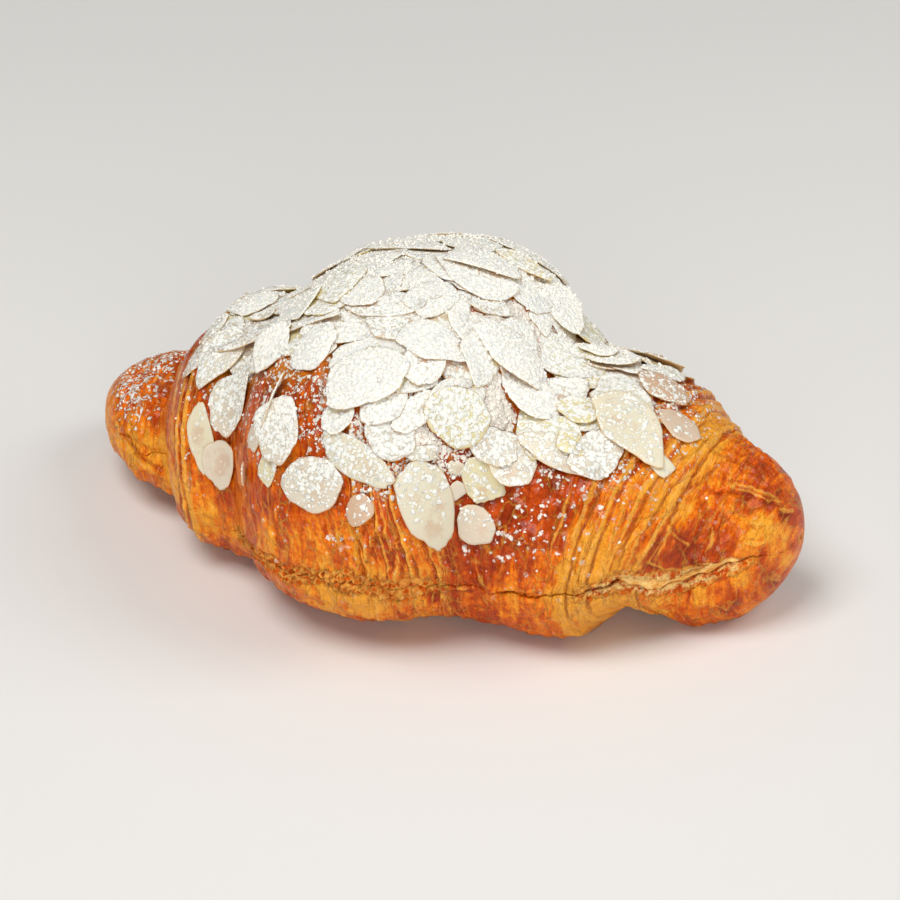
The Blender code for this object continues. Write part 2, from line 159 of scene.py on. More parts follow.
def add_object(name: str, data: ID) -> Object:
    """Put a mesh, a light or a camera in the scene, as an object at the origin.

    Args:
        name: The object's name.
        data: What it holds.

    Returns:
        The object.
    """
    result = bpy.data.objects.new(name, data)
    bpy.context.scene.collection.objects.link(result)
    return result


def closed_grid(name: str, rows: Array, attributes: dict[str, Array]) -> Mesh:
    """A closed tube of rings along X with a pole at each end.

    Args:
        name: Name of the mesh.
        rows: Places, rows[i][j] is point i of ring j.
        attributes: Values for the same points, by name.

    Returns:
        The mesh, with its faces outwards.
    """
    around, rings = rows.shape[:2]
    index = np.arange(around * rings).reshape(around, rings)
    after = np.roll(index, -1, axis=0)
    quads = np.stack([index[:, :-1], after[:, :-1], after[:, 1:], index[:, 1:]], axis=-1).reshape(-1, 4)
    poles = np.array([rows[:, 0].mean(axis=0), rows[:, -1].mean(axis=0)])
    places = np.concatenate([rows.reshape(-1, 3), poles])
    first, last = around * rings, around * rings + 1
    faces = quads.tolist()
    faces += [[after[i, 0], index[i, 0], first] for i in range(around)]
    faces += [[index[i, -1], after[i, -1], last] for i in range(around)]
    corner, second, third, fourth = (places[quads[:, k]] for k in range(4))
    volume = np.sum(np.cross(corner, second) * third) + np.sum(np.cross(corner, third) * fourth)
    if volume < 0.0:
        faces = [face[::-1] for face in faces]
    mesh = bpy.data.meshes.new(name)
    mesh.from_pydata(places.tolist(), [], faces)
    mesh.shade_smooth()
    for label, values in attributes.items():
        ends = np.stack([values[:, 0].mean(axis=0), values[:, -1].mean(axis=0)])
        flat = values.reshape(around * rings, *values.shape[2:])
        add_attribute(mesh, label, np.concatenate([flat, ends]))
    return mesh


def add_node(tree: NodeTree, kind: str, settings: dict[str, Any], sockets: dict[Any, Any]) -> Node:
    """Add a node to a shader or a Geometry Nodes tree.

    Args:
        tree: The tree.
        kind: The node's type.
        settings: Its settings.
        sockets: A value or another node's output for its inputs, by name or number.

    Returns:
        The node.
    """
    made = tree.nodes.new(kind)
    for key, value in settings.items():
        setattr(made, key, value)
    for key, value in sockets.items():
        if isinstance(value, NodeSocket):
            tree.links.new(value, made.inputs[key])
        else:
            made.inputs[key].default_value = value
    return made


# ---- shader maths ----
Value = Union["Signal", float, Sequence[float]]


class Signal:
    """A node's output; arithmetic on numbers adds Math nodes."""

    def __init__(self, shader: Shader, socket: NodeSocket) -> None:
        """Wrap a socket of a shader's tree."""
        self.shader = shader
        self.socket = socket

    def _math(self, operation: str, first: Value, second: Value) -> Signal:
        """A Math node on two values."""
        return self.shader.node("Math", {"operation": operation}, {0: first, 1: second})

    def _single(self, operation: str) -> Signal:
        """A Math node on this value alone."""
        return self.shader.node("Math", {"operation": operation}, {0: self})

    def __add__(self, other: Value) -> Signal:
        """Sum."""
        return self._math('ADD', self, other)

    __radd__ = __add__

    def __sub__(self, other: Value) -> Signal:
        """Difference."""
        return self._math('SUBTRACT', self, other)

    def __rsub__(self, other: Value) -> Signal:
        """Difference, the other way round."""
        return self._math('SUBTRACT', other, self)

    def __mul__(self, other: Value) -> Signal:
        """Product."""
        return self._math('MULTIPLY', self, other)

    __rmul__ = __mul__

    def magnitude(self) -> Signal:
        """The value without its sign."""
        return self._single('ABSOLUTE')

    def fraction(self) -> Signal:
        """What is left of the value over the next lower whole number."""
        return self._single('FRACT')

    def whole(self) -> Signal:
        """The next lower whole number."""
        return self._single('FLOOR')

    def at_least(self, other: Value) -> Signal:
        """The larger of two values."""
        return self._math('MAXIMUM', self, other)

    def clamped(self, low: float = 0.0, high: float = 1.0) -> Signal:
        """The value, held between two limits."""
        return self.shader.node("Clamp", {}, {"Value": self, "Min": low, "Max": high})

    def step(self, start: float, end: float) -> Signal:
        """0 below start, 1 above end, smooth between."""
        sockets = {"Value": self, "From Min": start, "From Max": end}
        return self.shader.node("MapRange", {"interpolation_type": 'SMOOTHSTEP'}, sockets)

    def first_part(self) -> Signal:
        """The first number of a vector or a colour."""
        return self.shader.node("SeparateXYZ", {}, {0: self}, "X")

    def shifting(self, reach: float, place: Signal) -> Signal:
        """Coordinates moved by this random vector, times a reach in metres."""
        sockets = {0: self, 1: (reach,) * 3, 2: place}
        return self.shader.node("VectorMath", {"operation": 'MULTIPLY_ADD'}, sockets)

    def other(self, out: str) -> Signal:
        """Another output of the same node."""
        return Signal(self.shader, self.socket.node.outputs[out])


class Shader:
    """A material's node tree, built one node at a time."""

    def __init__(self, name: str) -> None:
        """Start a material with nothing but its output.

        Args:
            name: The material's name.
        """
        self.material = bpy.data.materials.new(name)
        self.material.use_nodes = True
        self.tree = self.material.node_tree
        self.tree.nodes.clear()
        self.output = self.tree.nodes.new("ShaderNodeOutputMaterial")

    def node(self, kind: str, settings: dict[str, Any], sockets: dict[Any, Value],
             out: int | str = 0) -> Signal:
        """One output of a new node, whose kind is given without the word ShaderNode."""
        plain = {key: value.socket if isinstance(value, Signal) else value for key, value in sockets.items()}
        return Signal(self, add_node(self.tree, "ShaderNode" + kind, settings, plain).outputs[out])

    def place(self) -> Signal:
        """Object coordinates."""
        return self.node("TexCoord", {}, {}, "Object")

    def number(self, name: str) -> Signal:
        """A number stored on the mesh."""
        return self.node("Attribute", {"attribute_name": name}, {}, "Fac")

    def vector(self, name: str) -> Signal:
        """A vector stored on the mesh."""
        return self.node("Attribute", {"attribute_name": name}, {}, "Vector")

    def noise(self, where: Signal, size: float, detail: float = 3.0, rough: float = 0.55) -> Signal:
        """Noise with lumps of a size in metres."""
        sockets = {"Vector": where, "Scale": 1.0 / size, "Detail": detail, "Roughness": rough}
        return self.node("TexNoise", {"normalize": True}, sockets)

    def noise_vector(self, where: Signal, scale: float, detail: float) -> Signal:
        """A random vector that changes along its coordinates."""
        return self.node("TexNoise", {}, {"Vector": where, "Scale": scale, "Detail": detail}, "Color")

    def mix(self, share: Value, first: Value, second: Value) -> Signal:
        """A mix of two colours, signals or plain ones, with a share of the second."""
        colours = (value if isinstance(value, Signal) else (*value, 1.0) for value in (first, second))
        return self.node("Mix", {"data_type": 'RGBA'}, {0: share, **dict(zip((6, 7), colours))}, 2)

    def ramp(self, share: Signal, stops: Sequence[tuple[float, Colour]]) -> Signal:
        """A colour from a number.

        Args:
            share: The number.
            stops: Places between 0 and 1 with their colours, in rising order.

        Returns:
            The colour.
        """
        colour = self.node("ValToRGB", {}, {"Fac": share})
        elements = colour.socket.node.color_ramp.elements
        while len(elements) < len(stops):
            elements.new(0.5)
        for element, (place, tint) in zip(elements, stops):
            element.position = place
            element.color = (*tint, 1.0)
        return colour

    def plates(self, where: Signal, warp: Signal, size: float) -> tuple[Signal, Signal, Signal]:
        """Thin skins with broken edges, each lying at its own height.

        Args:
            where: Coordinates in which the skins lie.
            warp: A number added to their height.
            size: Their size in metres.

        Returns:
            Their height, 0 to 1, a tone for each, 0 to 1, and the distance to the nearest edge.
        """
        where = self.noise_vector(where, 0.7 / size, 3.0).shifting(1.6 * size, where)
        sockets = {"Vector": where, "Scale": 1.0 / size}
        tones = self.node("TexVoronoi", {}, sockets, "Color").first_part()
        edge = self.node("TexVoronoi", {"feature": 'DISTANCE_TO_EDGE'}, sockets, "Distance")
        return tones * edge.step(0.0, 0.05) + warp * 0.3, tones, edge

    def sugar(self, place: Signal, cover: Signal) -> tuple[Signal, Signal]:
        """Powdered sugar as grains that stand apart where there is little of it.

        Args:
            place: Object coordinates.
            cover: How much sugar lies there, 0 none, 1 nearly closed.

        Returns:
            Where the sugar lies, 0 to 1, and how high, in millimetres.
        """
        drifts = self.noise(place, 3.0 * MM, 4.0, 0.65)
        wanted = cover * 1.15 + (drifts - 0.5) * cover.step(0.0, 0.3) * 1.6
        film = (wanted - 1.0).step(0.0, 0.5)
        mask, height = film * 0.8, film * 0.1
        for size, share in ((1.10 * MM, 1.0), (0.60 * MM, 0.8)):
            where = self.noise_vector(place, 1.0 / (0.6 * size), 1.0).shifting(0.7 * size, place)
            distance = self.node("TexVoronoi", {}, {"Vector": where, "Scale": 1.0 / size}, "Distance")
            chance = distance.other("Color").first_part()
            grain = (0.68 - distance).step(0.0, 0.14) * (wanted * share - chance).step(-0.02, 0.06)
            mask = mask.at_least(grain)
            height = height.at_least(grain * (1.0 - distance * distance) * (size / MM * 0.5))
        return mask, height

    def bump(self, height: Signal, distance: float, strength: float) -> Signal:
        """A normal from a height."""
        return self.node("Bump", {}, {"Height": height, "Distance": distance, "Strength": strength})

    def finish(self, sockets: dict[Any, Value]) -> Material:
        """Close the tree with a Principled shader.

        Args:
            sockets: Its inputs.

        Returns:
            The finished material.
        """
        surface = self.node("BsdfPrincipled", {}, sockets)
        self.tree.links.new(surface.socket, self.output.inputs["Surface"])
        return self.material


def linear(red: int, green: int, blue: int) -> Colour:
    """A screen colour, its parts from 0 to 255, as the linear colour that shaders use."""
    shares = (value / 255.0 for value in (red, green, blue))
    return tuple(s / 12.92 if s <= 0.04045 else ((s + 0.055) / 1.055) ** 2.4 for s in shares)


# ---- finishes ----
class CrustPattern:
    """The coordinates, noises and stored numbers that all parts of the crust's material share."""

    def __init__(self, shader: Shader, finish: CrustFinish) -> None:
        """Add them to a shader.

        Args:
            shader: The shader of the crust's material.
            finish: The finish, which says how large everything is.
        """
        self.shader, self.place, self.flow = shader, shader.place(), shader.vector("flow")
        self.blotches = shader.noise(self.place, finish.blotch, 4.0, 0.6)
        self.mottle = shader.noise(self.place, finish.mottle, 4.0, 0.62)
        self.wrinkles = shader.noise(self.place, finish.wrinkle, 5.0, 0.66)
        self.streaks = shader.noise(self.flow, finish.streak, 4.0, 0.62)
        self.warp = shader.noise(self.flow, finish.warp, 3.0, 0.55)
        self.plies, self.relief = shader.number("plies"), shader.number("relief")
        self.crumb = shader.number("crumb")


@dataclass(frozen=True)
class CrustFinish:
    """Baked, buttery dough: golden where it is torn or sheltered, brown where it stood proud, with painted
    highlight on raised edges and painted shade in furrows and pores.
    """
    name: str
    bake_shift: float = 0.0
    pale: Colour = linear(255, 170, 46)
    golden: Colour = linear(246, 122, 8)
    amber: Colour = linear(206, 76, 4)
    brown: Colour = linear(166, 52, 4)
    dark: Colour = linear(134, 40, 3)
    # painted shade at the plies' feet and in the hollows of the relief
    foot: Colour = linear(160, 52, 1)
    # paler colour of the ply edges, also used as painted highlight on raised edges
    lip: Colour = linear(255, 178, 66)
    crumb: Colour = linear(255, 186, 88)
    # painted shade in the crumb's pores and in the cream's hollows
    pore_shade: Colour = linear(224, 84, 8)
    cream: Colour = linear(255, 210, 130)
    glaze: Colour = linear(246, 150, 20)
    sugar: Colour = linear(255, 247, 234)
    stops: tuple[float, ...] = (0.0, 0.25, 0.5, 0.78, 1.0)
    blotch: float = 8.0 * MM
    mottle: float = 0.9 * MM
    wrinkle: float = 2.2 * MM
    streak: float = 1.3 * MM
    warp: float = 4.5 * MM
    pitch: float = 1.7 * MM
    plate: float = 2.3 * MM
    pore_size: float = 1.5 * MM

    def material(self) -> Material:
        """Build the material.

        Returns:
            A material that reads the crust's flow, bake, relief, plies, crumb, pile and dust attributes.
        """
        shader = Shader(self.name)
        pattern = CrustPattern(shader, self)
        wide = shader.node("VectorMath", {"operation": 'MULTIPLY'}, {0: pattern.flow, 1: (1.0, 2.4, 1.0)})
        skins = shader.plates(wide, pattern.warp, self.plate)
        tooth, strength = self._plies(pattern)
        crust = self._baked(pattern, skins, tooth, strength)
        crust, torn, cells = self._torn(pattern, crust)
        glazed = (shader.number("pile") * 0.8 + (pattern.blotches - 0.5) * 1.4).step(0.55, 0.95)
        crust = shader.mix(glazed * 0.6, crust, self.glaze)
        dusted, lumps = shader.sugar(pattern.place, shader.number("dust"))
        creased = 1.0 - ((pattern.wrinkles - 0.5) * 5.0).magnitude()
        height = tooth * strength * 0.5 + pattern.mottle * 0.8 + pattern.streaks * 0.3 + creased * 0.14
        height = height + pattern.wrinkles * 1.1 + skins[0] * 0.5 + torn * cells * 0.7 + lumps
        return shader.finish({
            "Base Color": shader.mix(dusted, crust, self.sugar),
            "Roughness": 0.38 + (pattern.mottle - 0.5) * 0.6 + dusted * 0.4 + torn * 0.25,
            "Specular IOR Level": 0.10,
            "Coat Weight": (1.0 - dusted) * (1.0 - torn) * 0.25,
            "Coat Roughness": 0.12,
            "Normal": shader.bump(height, MM, 1.0),
        })

    def _plies(self, pattern: CrustPattern) -> tuple[Signal, Signal]:
        """The thinnest plies, as saw teeth across the flow.

        Args:
            pattern: The crust's noises.

        Returns:
            The tooth, 0 at its foot and 1 at its lip, and how strong it is.
        """
        station = pattern.flow.first_part()
        turns = station * (1.0 / self.pitch) + (pattern.warp - 0.5) * 5.0 + (pattern.mottle - 0.5) * 0.6
        sockets = {"W": turns.whole()}
        chance = pattern.shader.node("TexWhiteNoise", {"noise_dimensions": '1D'}, sockets, "Value")
        way = (pattern.plies * 8.0).clamped(-1.0, 1.0)
        strength = pattern.plies.magnitude() * (0.25 + chance * 0.75)
        strength = strength * (pattern.streaks - 0.2).step(0.05, 0.35)
        return (turns.fraction() - 0.5) * way + 0.5, strength

    def _baked(self, pattern: CrustPattern, skins: tuple[Signal, Signal, Signal], tooth: Signal,
               strength: Signal) -> Signal:
        """The baked surface, with painted highlight on raised edges and painted shade in furrows.

        Args:
            pattern: The crust's noises.
            skins: Height, tone and edge of its thin skins.
            tooth: The plies' saw teeth.
            strength: How strong these are.

        Returns:
            The colour.
        """
        shader, relief, (_, skin_tone, skin_edge) = pattern.shader, pattern.relief, skins
        lip, foot = tooth.step(0.60, 0.95) * strength, (1.0 - tooth).step(0.80, 0.99) * strength
        bake = shader.number("bake") + self.bake_shift + (pattern.blotches - 0.5) * 0.55
        # painted highlight and shade: mottle and wrinkles also raise the bump, and the crust is lighter
        # where they rise and darker where they sink
        bake = bake - (pattern.mottle - 0.5) * 0.5 + (pattern.streaks - 0.5) * 1.0 + (skin_tone - 0.5) * 0.3
        bake = bake - (pattern.wrinkles - 0.5) * 0.6
        tints = zip(self.stops, (self.pale, self.golden, self.amber, self.brown, self.dark))
        rims = (1.0 - skin_edge.step(0.0, 0.10)) * (skin_tone - 0.35).step(0.0, 0.3) * 0.5
        # painted highlight: the lip colour on the plies' lips and on raised relief; it also marks the paler
        # rims of the skins
        raised = relief.step(0.2, 1.2) * (1.35 - bake).clamped() * 0.9
        crust = shader.ramp(bake.clamped(), tuple(tints))
        crust = shader.mix(lip * 0.7 + raised + rims, crust, self.lip)
        # painted shade: the foot colour at the plies' feet and in the hollows of the relief
        return shader.mix(foot * 0.5 + (relief * -1.0).step(0.3, 1.4) * 0.6, crust, self.foot)

    def _torn(self, pattern: CrustPattern, crust: Signal) -> tuple[Signal, Signal, Signal]:
        """The inside of the dough and the cream, where the crust is torn open.

        Args:
            pattern: The crust's noises.
            crust: Colour of the whole crust.

        Returns:
            The colour with the torn places, where these are, and the pores' pattern.
        """
        shader, mottle, blotches = pattern.shader, pattern.mottle - 0.5, pattern.blotches - 0.5
        sockets = {"Vector": pattern.place, "Scale": 1.0 / self.pore_size}
        cells = shader.node("TexVoronoi", {}, sockets, "Distance")
        torn = (pattern.crumb + mottle * 1.6 + blotches * 0.9).step(0.40, 0.70)
        # painted shade: the pore colour in the middle of each pore, the crumb colour away from it
        open_cells = cells.step(0.25, 0.60) * (pattern.wrinkles.step(0.35, 0.6) * 0.6 + 0.4)
        crust = shader.mix(torn * 0.8, crust, shader.mix(open_cells, self.pore_shade, self.crumb))
        creamy = (pattern.crumb + mottle * 1.4 + blotches * 0.8).step(1.25, 1.55)
        # painted shade: the pore colour where the cream's wrinkles sink
        cream = shader.mix(pattern.wrinkles.step(0.38, 0.52), self.pore_shade, self.cream)
        return shader.mix(creamy * 0.9, crust, cream), torn, cells


@dataclass(frozen=True)
class AlmondFinish:
    """Sliced almond: creamy, slightly translucent, with toasted rims and sugar on top."""
    name: str
    flesh: Colour = linear(226, 213, 190)
    toasted: Colour = linear(222, 170, 104)
    yellow: Colour = linear(238, 220, 150)
    clear: Colour = linear(208, 168, 138)
    sugar: Colour = linear(255, 250, 234)

    def material(self) -> Material:
        """Build the material.

        Returns:
            A material that reads the almonds' edge, tone, dust and sky attributes.
        """
        shader = Shader(self.name)
        place = shader.place()
        mottle, fine = shader.noise(place, 5.0 * MM, 3.0, 0.6), shader.noise(place, 0.8 * MM, 3.0, 0.6)
        tone, edge = shader.number("tone"), shader.number("edge")
        dust = shader.number("dust") * shader.number("sky")
        bare = 1.0 - dust.step(0.25, 0.9) * 0.7
        flesh = shader.mix(tone.step(0.35, 1.0) * bare * 0.9, self.flesh, self.clear)
        flesh = shader.mix((1.0 - tone).step(0.5, 1.0) * 0.75, flesh, self.yellow)
        patches = mottle.step(0.48, 0.68) * (1.0 - edge.step(0.6, 0.95)) * bare
        flesh = shader.mix(patches * 0.6, flesh, self.clear)
        flesh = shader.mix(edge.step(0.955, 0.99) * bare * 0.7, flesh, self.toasted)
        dusted, lumps = shader.sugar(place, dust)
        return shader.finish({
            "Base Color": shader.mix(dusted, flesh, self.sugar),
            "Roughness": 0.42 + dusted * 0.45 + (fine - 0.5) * 0.15,
            "Subsurface Weight": 0.35,
            "Subsurface Radius": (3.0 * MM, 2.2 * MM, 1.4 * MM),
            "Subsurface Scale": 1.0,
            "Normal": shader.bump(lumps + fine * 0.05 + mottle * 0.15, MM, 0.8),
        })


@dataclass(frozen=True)
class SugarFinish:
    """Powdered sugar in small clumps."""
    name: str
    colour: Colour = linear(252, 248, 238)

    def material(self) -> Material:
        """Build the material.

        Returns:
            A matt white material.
        """
        shader = Shader(self.name)
        grains = shader.noise(shader.place(), 0.35 * MM, 2.0, 0.7)
        colour = shader.mix(grains, tuple(0.93 * channel for channel in self.colour), self.colour)
        return shader.finish({
            "Base Color": colour,
            "Roughness": 0.85 + (grains - 0.5) * 0.2,
            "Normal": shader.bump(grains, 0.15 * MM, 0.6),
        })


@dataclass(frozen=True)
class CreamFinish:
    """Baked almond cream: pale, moist and full of small holes."""
    name: str
    pale: Colour = linear(255, 212, 132)
    golden: Colour = linear(244, 172, 70)
    # painted shade where the cream lies low
    toasted: Colour = linear(196, 104, 22)

    def material(self) -> Material:
        """Build the material.

        Returns:
            A moist material, with painted shade where it lies low.
        """
        shader = Shader(self.name)
        place = shader.place()
        lumps = shader.noise(place, 2.2 * MM, 4.0, 0.65)
        pores = shader.noise(place, 0.5 * MM, 3.0, 0.6)
        # painted shade: darker where the lumps sink, paler where they rise
        colour = shader.ramp((lumps * 0.8 + pores * 0.3 - 0.05).clamped(),
                             ((0.25, self.toasted), (0.42, self.golden), (0.6, self.pale)))
        return shader.finish({
            "Base Color": colour,
            "Roughness": 0.6 + (pores - 0.5) * 0.3,
            "Subsurface Weight": 0.1,
            "Subsurface Radius": (2.0 * MM, 1.2 * MM, 0.6 * MM),
            "Subsurface Scale": 1.0,
            "Normal": shader.bump(lumps * 0.7 + pores * 0.6, 0.5 * MM, 0.8),
        })


@dataclass(frozen=True)
class FloorFinish:
    """Plain pale studio floor."""
    name: str
    colour: Colour = linear(226, 224, 220)

    def material(self) -> Material:
        """Build the material."""
        return Shader(self.name).finish({"Base Color": (*self.colour, 1.0), "Roughness": 0.7})


# ---- the croissant's dough ----
@dataclass(frozen=True)
class Roll:
    """One turn of the rolled dough: a blunt pill along X."""
    start: float
    end: float
    front: float
    back: float
    height: float
    bluntness: float
    lift: float = -0.002


@dataclass(frozen=True)
class PlyEdge:
    """An edge of baked dough that stands proud and falls towards +X (1) or -X (-1)."""
    station: float
    falls: int
    depth: float
    reach: float = 0.0045
    wander: float = 0.0004
    broken: float = 0.0


@dataclass(frozen=True)
class Crease:
    """A furrow along a tip, at an angle round the section."""
    start: float
    end: float
    angle: float
    depth: float
    half_angle: float = 0.13
    run_out: float = 0.006

    def depth_at(self, x: Array, angle: Array) -> Array:
        """Its depth at places along the croissant and angles round its section."""
        along = window(x, self.start - self.run_out, self.start, self.end, self.end + self.run_out)
        return self.depth * along * np.exp(-((angle - self.angle) / self.half_angle) ** 2)


@dataclass(frozen=True)
class Notch:
    """Where the underside stands clear of the plate, between two rolls."""
    station: float
    half_width: float
    height: float


@dataclass(frozen=True)
class PlyZone:
    """A stretch where the edges of many thin plies show, all falling the same way."""
    start: float
    end: float
    falls: int
    count: int
    depth: float
    fine: float
    soft: float = 0.002

    def strength_at(self, station: Array) -> Array:
        """How strongly the thinnest plies show, with the sign of the way that they fall."""
        edges = (self.start - self.soft, self.start + self.soft, self.end - self.soft, self.end + self.soft)
        return self.falls * self.fine * window(station, *edges)


@dataclass(frozen=True)
class Fold:
    """A fold or tear in the crust, by the pixels of the photograph through which it runs.

    It stands proud by its height, or lies as a furrow where that is negative.  Traced downwards it
    falls away gently on its left and steeply on its right.  Sizes are in millimetres.
    """
    line: tuple[tuple[float, float], ...]
    height: float
    reach: float = 2.2
    steep: float = 0.45


FOLDS = tuple(Fold(*row) for row in (
    # wraps and plies on the right shoulder
    (((597, 497), (583, 523), (570, 547), (561, 572)), 0.7, 3.0),
    (((612, 453), (600, 480), (588, 512), (578, 534)), 0.8, 3.0),
    (((636, 484), (627, 508), (622, 530), (608, 556)), 0.8, 3.0),
    (((655, 478), (640, 508), (628, 534), (618, 560)), 0.8, 2.4),
    (((712, 447), (690, 467), (669, 490), (653, 514), (638, 545), (627, 570)), 1.3, 2.6),
    (((727, 457), (702, 473), (682, 492), (668, 512)), 0.9, 2.0),
    # the blunt tip
    (((787, 503), (770, 501), (748, 491), (722, 484)), 1.7, 2.2, 0.5),
    (((782, 497), (764, 489), (744, 481), (722, 477)), -0.9, 1.2, 1.0),
    (((640, 563), (664, 573), (692, 573), (714, 563)), -1.5, 1.2, 0.5),
    (((768, 538), (756, 541), (742, 540)), -1.0, 0.9, 0.4),
    (((776, 508), (783, 514), (796, 513)), -1.8, 1.0, 0.9),
    (((748, 524), (756, 528), (766, 524)), -1.4, 0.9, 0.8),
    (((636, 562), (645, 540), (662, 520), (680, 508), (700, 512)), -0.8, 1.0, 1.4),
    (((712, 520), (716, 540), (704, 556)), 0.9, 2.0, 0.5),
    (((664, 518), (676, 534), (694, 546)), 1.2, 5.0, 5.0),
    (((738, 574), (739, 598), (727, 609), (710, 603)), 0.9, 2.0, 0.6),
    (((664, 580), (670, 600), (664, 616)), 0.6, 2.4, 0.6),
    # folded ribs at the foot of the left wrap
    (((350, 512), (340, 534), (346, 560)), 0.8, 1.6, 0.3),
    (((374, 508), (364, 530), (359, 552), (361, 570), (370, 584), (382, 592)), 1.7, 0.8, 0.25),
    (((386, 520), (375, 538), (370, 556), (373, 572), (383, 585)), 1.7, 0.8, 0.25),
    (((388, 522), (395, 545), (393, 562), (386, 578)), 1.1, 0.8, 0.3),
    (((400, 540), (402, 560), (399, 578)), 0.8, 0.8, 0.3),
    (((411, 550), (416, 565), (420, 578)), 1.2, 0.8, 0.3),
    (((433, 548), (434, 566), (437, 582)), 1.3, 0.9, 0.25),
    (((478, 548), (481, 566), (490, 582)), 0.9, 1.2, 0.3),
    (((366, 589), (352, 588), (334, 584), (318, 580)), 0.9, 2.0, 0.3),
    (((480, 586), (458, 585), (438, 583)), 0.9, 2.0, 0.3),
    (((545, 588), (520, 590), (496, 588)), 0.7, 2.0, 0.3),
    (((510, 556), (498, 580), (496, 596)), 0.8, 2.4, 0.3),
    (((548, 512), (536, 545), (524, 580)), 0.6, 3.0, 0.3),
    (((281, 503), (273, 530), (277, 552)), 0.5, 3.4),
    (((246, 488), (243, 514), (249, 540), (262, 566)), 0.7, 2.6),
    (((420, 596), (432, 592), (446, 598)), -1.6, 1.2, 1.0),
    # the pointed tip
    (((113, 412), (124, 436), (135, 453), (146, 463), (172, 478)), 1.3, 3.0, 1.0),
    (((181, 356), (173, 386), (170, 416), (170, 450), (176, 484)), -1.0, 1.0, 1.2),
    (((197, 352), (188, 384), (183, 420), (182, 456), (190, 492)), 0.8, 2.4, 0.8),
    (((146, 398), (148, 414), (150, 428)), 0.6, 1.0, 0.6),
    (((112, 396), (128, 372), (148, 360), (170, 362)), 0.8, 3.0, 1.2),
))


@dataclass(frozen=True)
class BakeAndPaintedLightSpot:
    """A patch round a pixel of the photograph that baked darker or stayed lighter; some are painted shade in
    holes, creases and under the bulge, and one is a painted highlight on the bulge's top.
    """
    x: float
    y: float
    radius: float
    bake: float

    def bake_and_light_at(self, pixels: Array) -> Array:
        """What it adds to the bake attribute, painted shade and highlight included, at places that the
        photograph shows at these pixels.
        """
        away = np.linalg.norm(pixels - np.array((self.x, self.y)), axis=-1)
        return self.bake * np.exp(-(away / self.radius) ** 2)


# baked patches, with painted shade in the holes and creases of the blunt tip, along the cut and under the
# bulge, and a painted highlight on the bulge's top
BAKE_AND_PAINTED_LIGHT_SPOTS = tuple(BakeAndPaintedLightSpot(*row) for row in (
    (674, 548, 20, 0.22), (650, 556, 14, 0.25), (700, 550, 14, 0.12), (678, 512, 14, -0.15),
    (700, 452, 16, -0.25), (762, 466, 11, 0.35), (738, 482, 13, -0.10), (778, 488, 10, 0.30),
    (715, 489, 5, 0.70), (744, 491, 9, 0.45), (766, 499, 8, 0.45), (768, 576, 13, 0.25),
    (764, 528, 18, -0.35), (722, 522, 14, 0.10), (784, 514, 6, 0.70), (796, 545, 9, 0.30),
    (734, 600, 11, 0.35), (766, 580, 12, 0.25), (700, 592, 16, -0.25), (660, 590, 14, -0.25),
    (600, 588, 22, -0.30), (592, 545, 14, -0.25), (560, 560, 14, -0.15), (500, 565, 22, 0.18),
    (470, 575, 16, 0.20), (530, 500, 20, -0.10), (450, 600, 12, 0.30), (380, 550, 10, 0.20),
    (455, 566, 16, 0.20), (432, 594, 6, 0.60), (345, 530, 16, -0.25), (300, 540, 20, -0.25),
    (330, 596, 26, -0.35), (368, 606, 14, -0.25), (265, 535, 18, -0.25), (262, 500, 14, 0.20),
    (232, 520, 14, -0.10), (205, 510, 14, -0.15), (222, 545, 10, 0.25), (150, 470, 14, 0.20),
    (120, 405, 16, 0.15), (150, 420, 14, 0.10), (183, 440, 9, -0.30), (186, 480, 9, -0.25),
    (160, 490, 10, -0.15),
))


